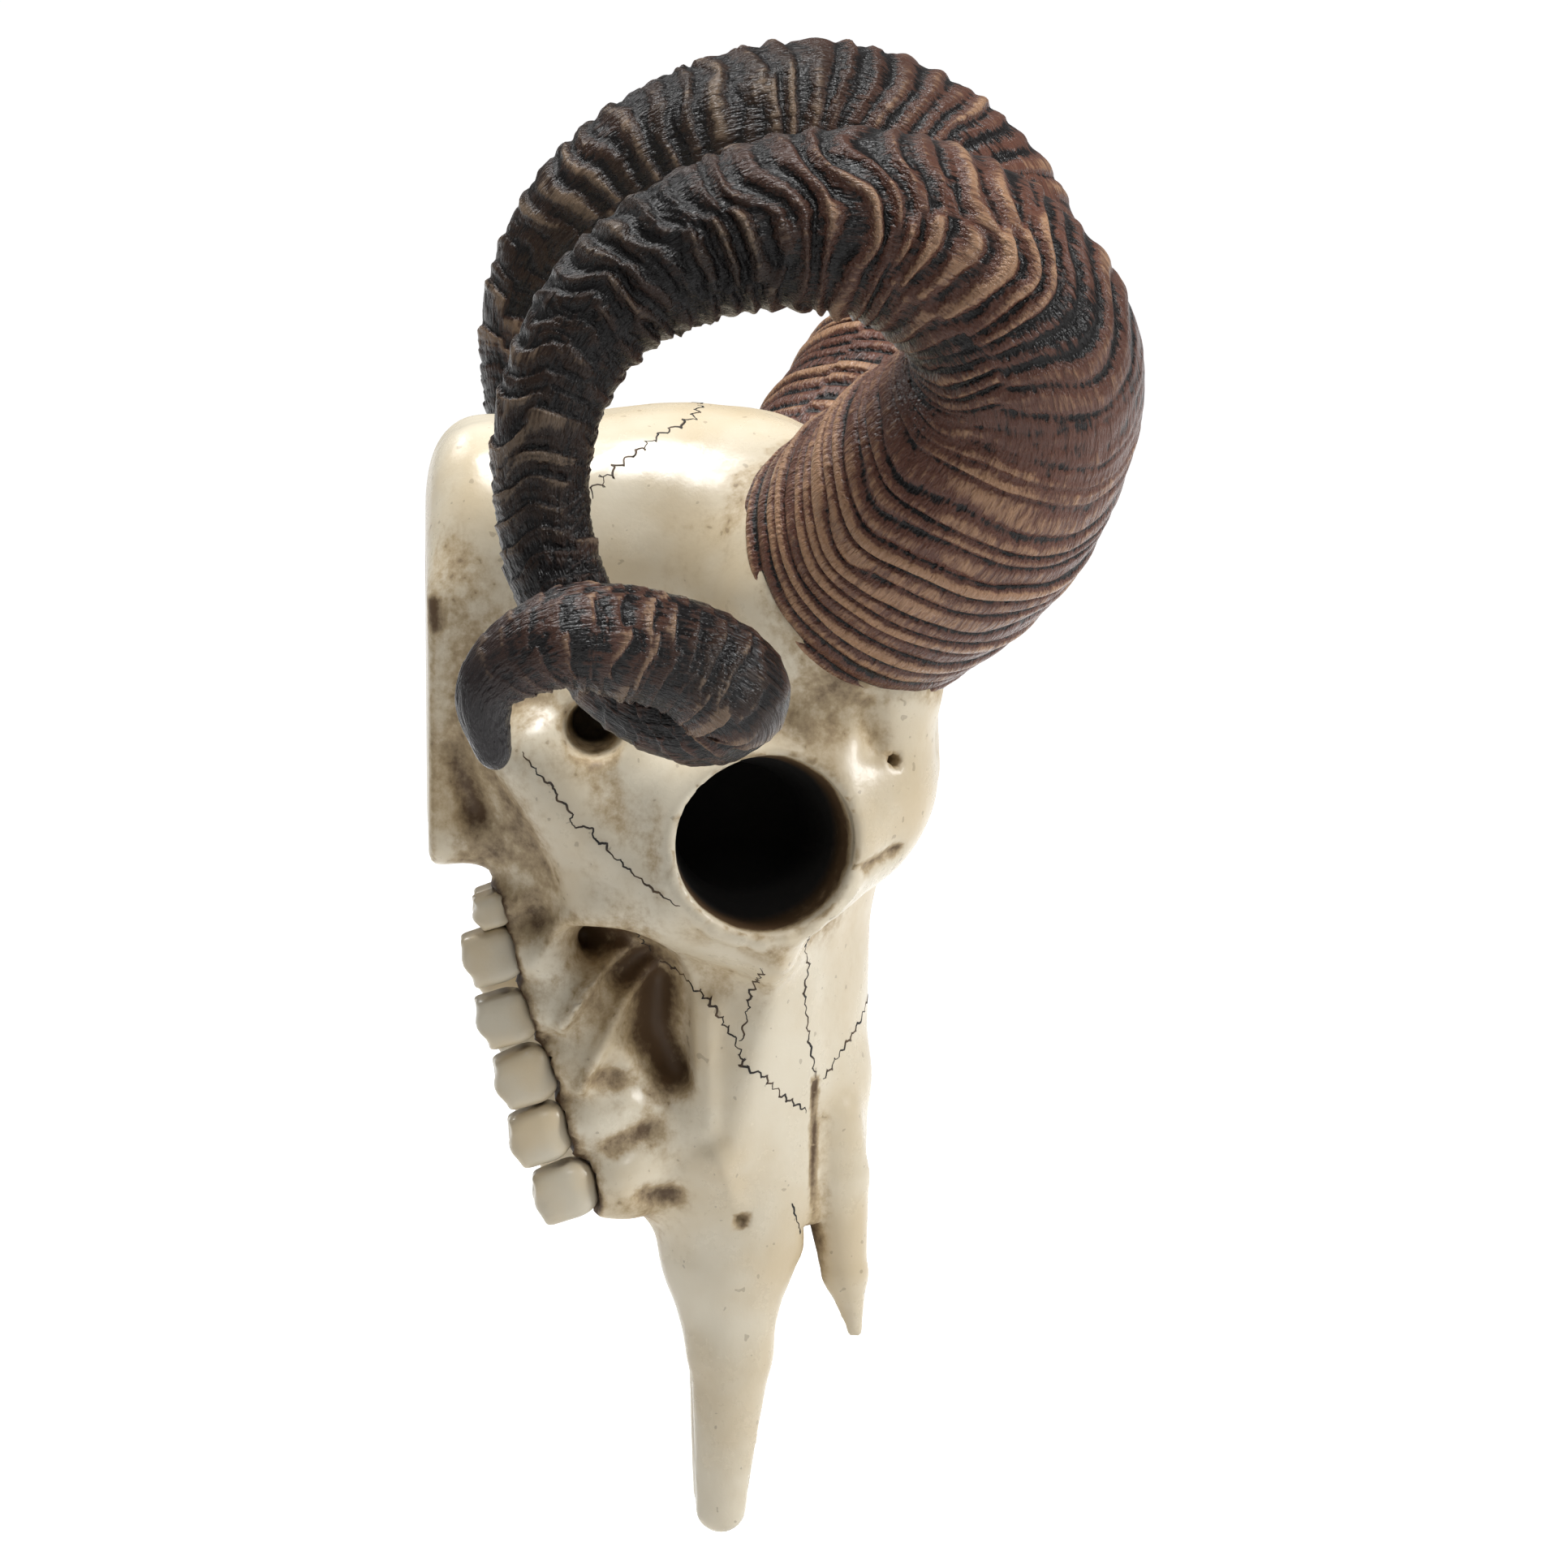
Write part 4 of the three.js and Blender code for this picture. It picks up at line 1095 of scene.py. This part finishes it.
# brown stain and painted shade in the furrows, pits and hollows on the side of the bone: where each starts
# and ends, as (fore, up), its width and strength
STAINS_AND_SHADE = [
    ((1.5, 20), (2.5, 14), 1.8, 0.8),
    ((6, -14), (12, -30), 4.2, 0.32),
    ((14, -20), (20, -28), 3, 0.35),
    ((21, -32), (27, -42), 3.4, 0.35),
    ((28, -44), (28, -50), 3.5, 0.35),
    ((16, -39), (24, -42), 3, 0.4),
    ((25, -52), (26.5, -55), 5, 0.55),
    ((12, -50), (19, -51), 3, 0.3),
    ((37, -60), (45, -61), 6, 0.5),
    ((46, -58), (55, -62.5), 3, 0.5),
    ((52, -65), (45, -70), 5.5, 0.6),
    ((57, -66), (58.5, -78), 4.5, 0.5),
    ((54, -72), (52.5, -84), 6.5, 0.72),
    ((53.5, -84), (57.5, -95), 4.6, 0.72),
    ((40, -72), (37, -80), 4, 0.3),
    ((35, -64), (33, -67), 3.2, 0.3),
    ((39.5, -93.5), (43, -95), 3.6, 0.55),
    ((43.5, -110.7), (51, -107), 3, 0.55),
    ((50.5, -122.4), (57, -123), 3, 0.55),
    ((48, -124), (50, -128), 3.5, 0.3),
    ((91.4, -98), (91.2, -138), 0.9, 0.8),
    ((101, -40), (109, -37), 1.5, 0.45),
    ((99, 4), (104, -10), 3.5, 0.25),
    ((24, 30), (30, 5), 9, 0.14),
]

# broad thin washes of stain and painted shade over the hollows, which add up where they meet
WASHES_AND_SHADE = [
    ((7, 30), (9, -36), 8, 0.28),
    ((24, 6), (22, -30), 8, 0.2),
    ((36, -16), (50, -46), 9, 0.12),
    ((44, -60), (54, -96), 10, 0.3),
    ((24, -60), (40, -128), 8, 0.15),
    ((80, 16), (92, -4), 8, 0.06),
]


def within(p, hole, margin, low, high):
    """0 to 1 between two depths in a hole, out to a margin beyond its radius."""
    t, reach = depth_and_reach(p, hole)
    return step(-t, low, high) * (reach < hole["radius"] + margin)


def skull_attributes(points):
    """Stain and painted shade at each vertex. Painted shade gathers where the surface is hollow, which shows
    as the distance growing slower than the step away from it, where the bone meets the horns and the teeth,
    and inside the holes, near black deep in the orbits and the ears; stain and painted shade lie at the
    named places."""
    normal = unit(slope_of(points))
    # painted shade where the surface is hollow, darker the more it is enclosed, as ambient occlusion
    cavity_shade = 0
    for away, weight in ((1.2, 0.3), (2.5, 0.35), (5, 0.3), (9, 0.2)):
        cavity_shade = cavity_shade + weight * np.clip(1 - bone(at(points + normal * away)) / away, 0, 1)
    p = at(points)
    spots = np.max([stroke(p, *place) for place in STAINS_AND_SHADE], axis=0)
    wash_and_shade = np.sum([stroke(p, *place) for place in WASHES_AND_SHADE], axis=0)
    # painted shade on the bone where it meets the horn's foot
    foot = 0.3 * (1 - step(near_horn(np.stack(p, 1)), 0.3, 3.5))
    # painted shade in the gap round the seats of the teeth
    tooth_gap_shade = 0.95 * np.exp(-(seats(p) / f4(1.3)) ** 2)
    stain_and_shade = np.clip(cavity_shade, 0, 0.8) + (spots + wash_and_shade) * step(p[0], 12, 20) + (foot + tooth_gap_shade)
    # painted shade in the orbits and the ears: brown at the mouth, near black deeper in
    socket_depth_shade = within(p, ORBIT, 0.5, 5, 15) * (p[0] > OFF_MIDDLE)
    stain_and_shade = np.maximum(stain_and_shade, 1.1 * within(p, ORBIT, 0.5, -0.5, 5) * (p[0] > OFF_MIDDLE))
    socket_depth_shade = np.maximum(socket_depth_shade, 0.8 * within(p, EAR, 0.8, 12, 20))
    stain_and_shade = np.maximum(stain_and_shade, 0.7 * within(p, EAR, 0.8, 2, 12))
    # painted shade inside the small holes of the cheek and the brow
    for hole in (CHEEK_HOLE, BROW_HOLE):
        t, reach = depth_and_reach(p, hole)
        stain_and_shade = np.maximum(stain_and_shade, 0.7 * step(-t, 0.5, 3) * (1 - step(reach, 1.6, 3.0)))
    return {"stain_and_shade": np.clip(stain_and_shade, 0, 1.3), "socket_depth_shade": np.clip(socket_depth_shade, 0, 1)}


# ---------------------------------------------------------------- teeth


def crown_surface(tooth, rng):
    """A molar over two angles: squarish in section, boxy at the biting edge and round at the gum, with a
    seeded lean, two low cusps and a small notch on the biting edge. Also its stain and painted shade: brown
    stain and painted shade towards the gum, and painted shade where crowns meet and in the notch."""
    u = np.linspace(-math.pi, math.pi, 72, endpoint=False)[None]
    v = np.linspace(0, math.pi, 60)[:, None]
    biting = v < math.pi / 2
    cap = np.where(biting, np.sin(v) ** 0.34, np.abs(np.sin(v)) ** 0.78)
    # -1 at the biting edge and 1 in the gum
    a = np.where(biting, -np.abs(np.cos(v)) ** 0.3, np.abs(np.cos(v)) ** 0.9)
    x = cap * np.sign(np.cos(u)) * np.abs(np.cos(u)) ** 0.52
    z = cap * np.sign(np.sin(u)) * np.abs(np.sin(u)) ** 0.52
    near_edge = step(-a, 0.3, 1.0)
    side = x * (TOOTH_BREADTH * 0.5) * (0.97 + 0.05 * np.cos(a * 1.6))
    side = side - 0.5 * np.exp(-((z - 0.1) / 0.22) ** 2) * near_edge * (x > 0)
    root = (a + 1) * 0.5 * tooth.length - 0.5 * np.cos(z * 5) * near_edge
    root = root + 0.5 * np.exp(-(x / 0.3) ** 2) * near_edge
    root = root + rng.uniform(-0.4, 0.4) + 0.25 * np.sin(4 * z + 3 * x + rng.uniform(0, 6))
    row = z * tooth.width * 0.5 * (1 + 0.04 * np.sin(a * 2 + rng.uniform(-1, 1))) + rng.uniform(-0.25, 0.25)
    row = row + rng.uniform(-0.08, 0.08) * (root - tooth.length / 2)
    c, s = math.cos(TOOTH_LEAN), math.sin(TOOTH_LEAN)
    fore, up = tooth.fore + root * c - row * s, tooth.up + root * s + row * c
    # stain and painted shade towards the gum; painted shade where crowns meet and in the notch
    stain_and_shade = 0.9 * step(a, 0.72, 1.0) + 0.75 * step(np.abs(z), 0.86, 0.99) * step(a, -0.6, 0.3)
    stain_and_shade = stain_and_shade + 0.25 * np.exp(-((z - 0.1) / 0.15) ** 2) * near_edge
    return np.stack([TOOTH_SIDE + side, fore, up], -1), np.clip(stain_and_shade * np.ones_like(u), 0, 1)


# ---------------------------------------------------------------- operators


class BuildSkull(bpy.types.Operator):
    """Build the bone as one closed surface, in place of the frame's plain bones"""

    bl_idname = "ram_skull.build_skull"
    bl_label = "Skull"

    def execute(self, context):
        look = context.scene.ram_bone
        cell = look.cell
        # cells are a little larger near the middle and over the braincase, where the bone is smooth
        half = grid_lines([(cell * 0.6, cell * 1.2), (7, cell), (70, cell)])
        fore = grid_lines([(-2 * cell, cell), (130, cell)])
        up = grid_lines([(-218, cell), (-40, cell), (-5, cell * 1.1), (72, cell)])
        side_values = bone(np.meshgrid(half.astype(f4), fore.astype(f4), up.astype(f4), indexing="ij"))
        values = np.concatenate([side_values[::-1], side_values])
        lines = (np.concatenate([-half[::-1], half]), fore, up)
        points, quads = largest_body(*surface_nets(values, lines))
        points = settle(points)
        points[:, 1] = np.maximum(points[:, 1], 0)
        attributes = skull_attributes(points)
        skull = new_piece("skull", to_scene(points), quads[:, ::-1], bone_finish(look), "bone", attributes)
        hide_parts(*[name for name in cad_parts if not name.startswith("horn_")])
        return {"FINISHED"}


class BuildTeeth(bpy.types.Operator):
    """Build the two rows of teeth, which stand in the seats of the jaw"""

    bl_idname = "ram_skull.build_teeth"
    bl_label = "Teeth"

    def execute(self, context):
        finish = tooth_finish(context.scene.ram_bone)
        for name, sign in SIDES.items():
            rng = np.random.default_rng(SEEDS["teeth"])
            crowns = []
            for number, tooth in enumerate(TEETH):
                worn = WORN.get((name, number), 0)
                tooth = tooth._replace(fore=tooth.fore + worn, length=tooth.length - worn)
                crowns.append(crown_surface(tooth, rng))
            places, faces = joined([points for points, _ in crowns])
            stain_and_shade = np.concatenate([with_ends(stain_and_shade) for _, stain_and_shade in crowns])
            new_piece(f"teeth_{name}", to_scene(places, sign), facing_out(faces, sign), finish, "bone",
                      {"stain_and_shade": stain_and_shade})
        return {"FINISHED"}


class BuildSutures(bpy.types.Operator):
    """Build the dark zigzag lines where the bones of the skull meet"""

    bl_idname = "ram_skull.build_sutures"
    bl_label = "Sutures"

    def execute(self, context):
        sizes = context.scene.ram_sutures
        finish = suture_finish(context.scene.ram_bone)
        radius = sizes.width / MM / 2
        wander = sizes.wander / MM
        lines = [suture_line(places, wander * share, wave, SEEDS["sutures"] + number)
                 for number, (places, share, wave) in enumerate(SUTURES.values())]
        places, faces = joined([thread(line, radius) for line in lines])
        for name, sign in SIDES.items():
            new_piece(f"sutures_{name}", to_scene(places, sign), facing_out(faces, sign), finish, "bone")
        return {"FINISHED"}


class BuildHorns(bpy.types.Operator):
    """Build the two ringed horns, in place of the frame's plain lengths of horn"""

    bl_idname = "ram_skull.build_horns"
    bl_label = "Horns"

    def execute(self, context):
        look = context.scene.ram_horn
        finish = horn_finish(look)
        points, attributes = horn_surface(look)
        places, faces = joined([points])
        values = {key: with_ends(value) for key, value in attributes.items()}
        for name, sign in SIDES.items():
            horn = new_piece(f"horn_{name}", to_scene(places, sign), facing_out(faces, sign), finish, "horn",
                             values)
            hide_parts(*[f"horn_{name}_{length}" for length in ("base", "bow", "tip")])
        return {"FINISHED"}


LIT_PLACE = (0, -0.07, -0.03)  # what every lamp points at, in metres
# each lamp's place in metres, its power in watts and its width in metres
LAMPS = {
    "top_light": ((-0.05, 0.05, 1.35), 21, 0.55),
    "key_light": ((-1.35, -0.3, 1.25), 6, 0.5),
    "front_light": ((-0.45, -1.65, 0.7), 18, 0.55),
    "back_light": ((1.0, 0.7, 1.1), 6, 0.5),
}
FLOOR_SIDES = 96


def turn_towards(holder, direction):
    """Points a lamp or a camera along a direction, upright."""
    holder.rotation_euler = direction.to_track_quat("-Z", "Y").to_euler()


class BuildStage(bpy.types.Operator):
    """Set the pale floor, the soft studio light and the camera"""

    bl_idname = "ram_skull.build_stage"
    bl_label = "Stage"

    def execute(self, context):
        sizes = context.scene.ram_stage
        scene = context.scene
        f = Finish("pale_floor")
        apart = f.tree.nodes.new("ShaderNodeSeparateXYZ")
        f.tree.links.new(f.place, apart.inputs[0])
        glow = f.span(apart.outputs["X"], 0.2, 0.7, 0, 0.85)  # rises behind the skull, as the camera sees it
        f.wear(Base_Color=(0.86, 0.86, 0.86, 1), Roughness=0.9, Emission_Color=(1, 1, 1, 1),
               Emission_Strength=glow)
        n = np.arange(FLOOR_SIDES)
        angle = np.linspace(0, 2 * math.pi, FLOOR_SIDES, endpoint=False)
        level = np.full(FLOOR_SIDES, sizes.floor_level)
        rim = np.stack([sizes.floor_radius * np.cos(angle), sizes.floor_radius * np.sin(angle), level], 1)
        faces = np.stack([n, np.roll(n, -1), np.full(FLOOR_SIDES, FLOOR_SIDES)], 1)
        floor = new_piece("floor", np.vstack([rim, [0, 0, sizes.floor_level]]), faces, f.material, None)

        world = bpy.data.worlds.new("pale_surroundings")
        world.use_nodes = True
        background = world.node_tree.nodes["Background"]
        background.inputs["Color"].default_value = (1, 1, 1, 1)
        background.inputs["Strength"].default_value = sizes.world_light
        scene.world = world
        scene.view_settings.view_transform = "Standard"

        for name, (place, power, size) in LAMPS.items():
            lamp = bpy.data.lights.new(name, "AREA")
            lamp.energy = power
            lamp.size = size
            holder = bpy.data.objects.new(name, lamp)
            scene.collection.objects.link(holder)
            holder.location = place
            turn_towards(holder, Vector(LIT_PLACE) - Vector(place))

        turn, lift = sizes.turn, sizes.lift
        look = Vector((math.cos(lift) * math.cos(turn), math.cos(lift) * math.sin(turn), -math.sin(lift)))
        camera = bpy.data.cameras.new("camera")
        camera.sensor_width = 36
        camera.lens = camera.sensor_width * sizes.distance / sizes.view_height
        holder = bpy.data.objects.new("camera", camera)
        scene.collection.objects.link(holder)
        holder.location = Vector(sizes.middle) - look * sizes.distance
        turn_towards(holder, look)
        scene.camera = holder
        return {"FINISHED"}


class SkullPanel(bpy.types.Panel):
    """Sizes, colours and steps of the ram skull"""

    bl_idname = "VIEW3D_PT_ram_skull"
    bl_label = "Ram skull"
    bl_space_type = "VIEW_3D"
    bl_region_type = "UI"
    bl_category = "Ram skull"

    def draw(self, context):
        for key, step_ids in PANEL_ROWS.items():
            group = getattr(context.scene, key)
            box = self.layout.box()
            for prop in group.bl_rna.properties:
                if prop.identifier not in ("rna_type", "name"):
                    box.prop(group, prop.identifier)
            for step_id in step_ids:
                box.operator(step_id)


GROUPS = {"ram_bone": BoneLook, "ram_sutures": SutureSizes, "ram_horn": HornLook, "ram_stage": StageSizes}
OPERATORS = (BuildSkull, BuildTeeth, BuildSutures, BuildHorns, BuildStage)
PANEL_ROWS = {
    "ram_bone": (BuildSkull.bl_idname, BuildTeeth.bl_idname),
    "ram_sutures": (BuildSutures.bl_idname,),
    "ram_horn": (BuildHorns.bl_idname,),
    "ram_stage": (BuildStage.bl_idname,),
}


def register():
    """Adds the sizes and colours, the operators and the panel."""
    for key, group in GROUPS.items():
        bpy.utils.register_class(group)
        setattr(bpy.types.Scene, key, PointerProperty(type=group))
    for kind in (*OPERATORS, SkullPanel):
        bpy.utils.register_class(kind)


def unregister():
    """Takes them away again."""
    for kind in (SkullPanel, *reversed(OPERATORS)):
        bpy.utils.unregister_class(kind)
    for key, group in GROUPS.items():
        delattr(bpy.types.Scene, key)
        bpy.utils.unregister_class(group)


def main():
    """Builds every piece and the stage."""
    register()
    bpy.ops.ram_skull.build_skull()
    bpy.ops.ram_skull.build_teeth()
    bpy.ops.ram_skull.build_sutures()
    bpy.ops.ram_skull.build_horns()
    bpy.ops.ram_skull.build_stage()


if __name__ == "__main__":
    main()
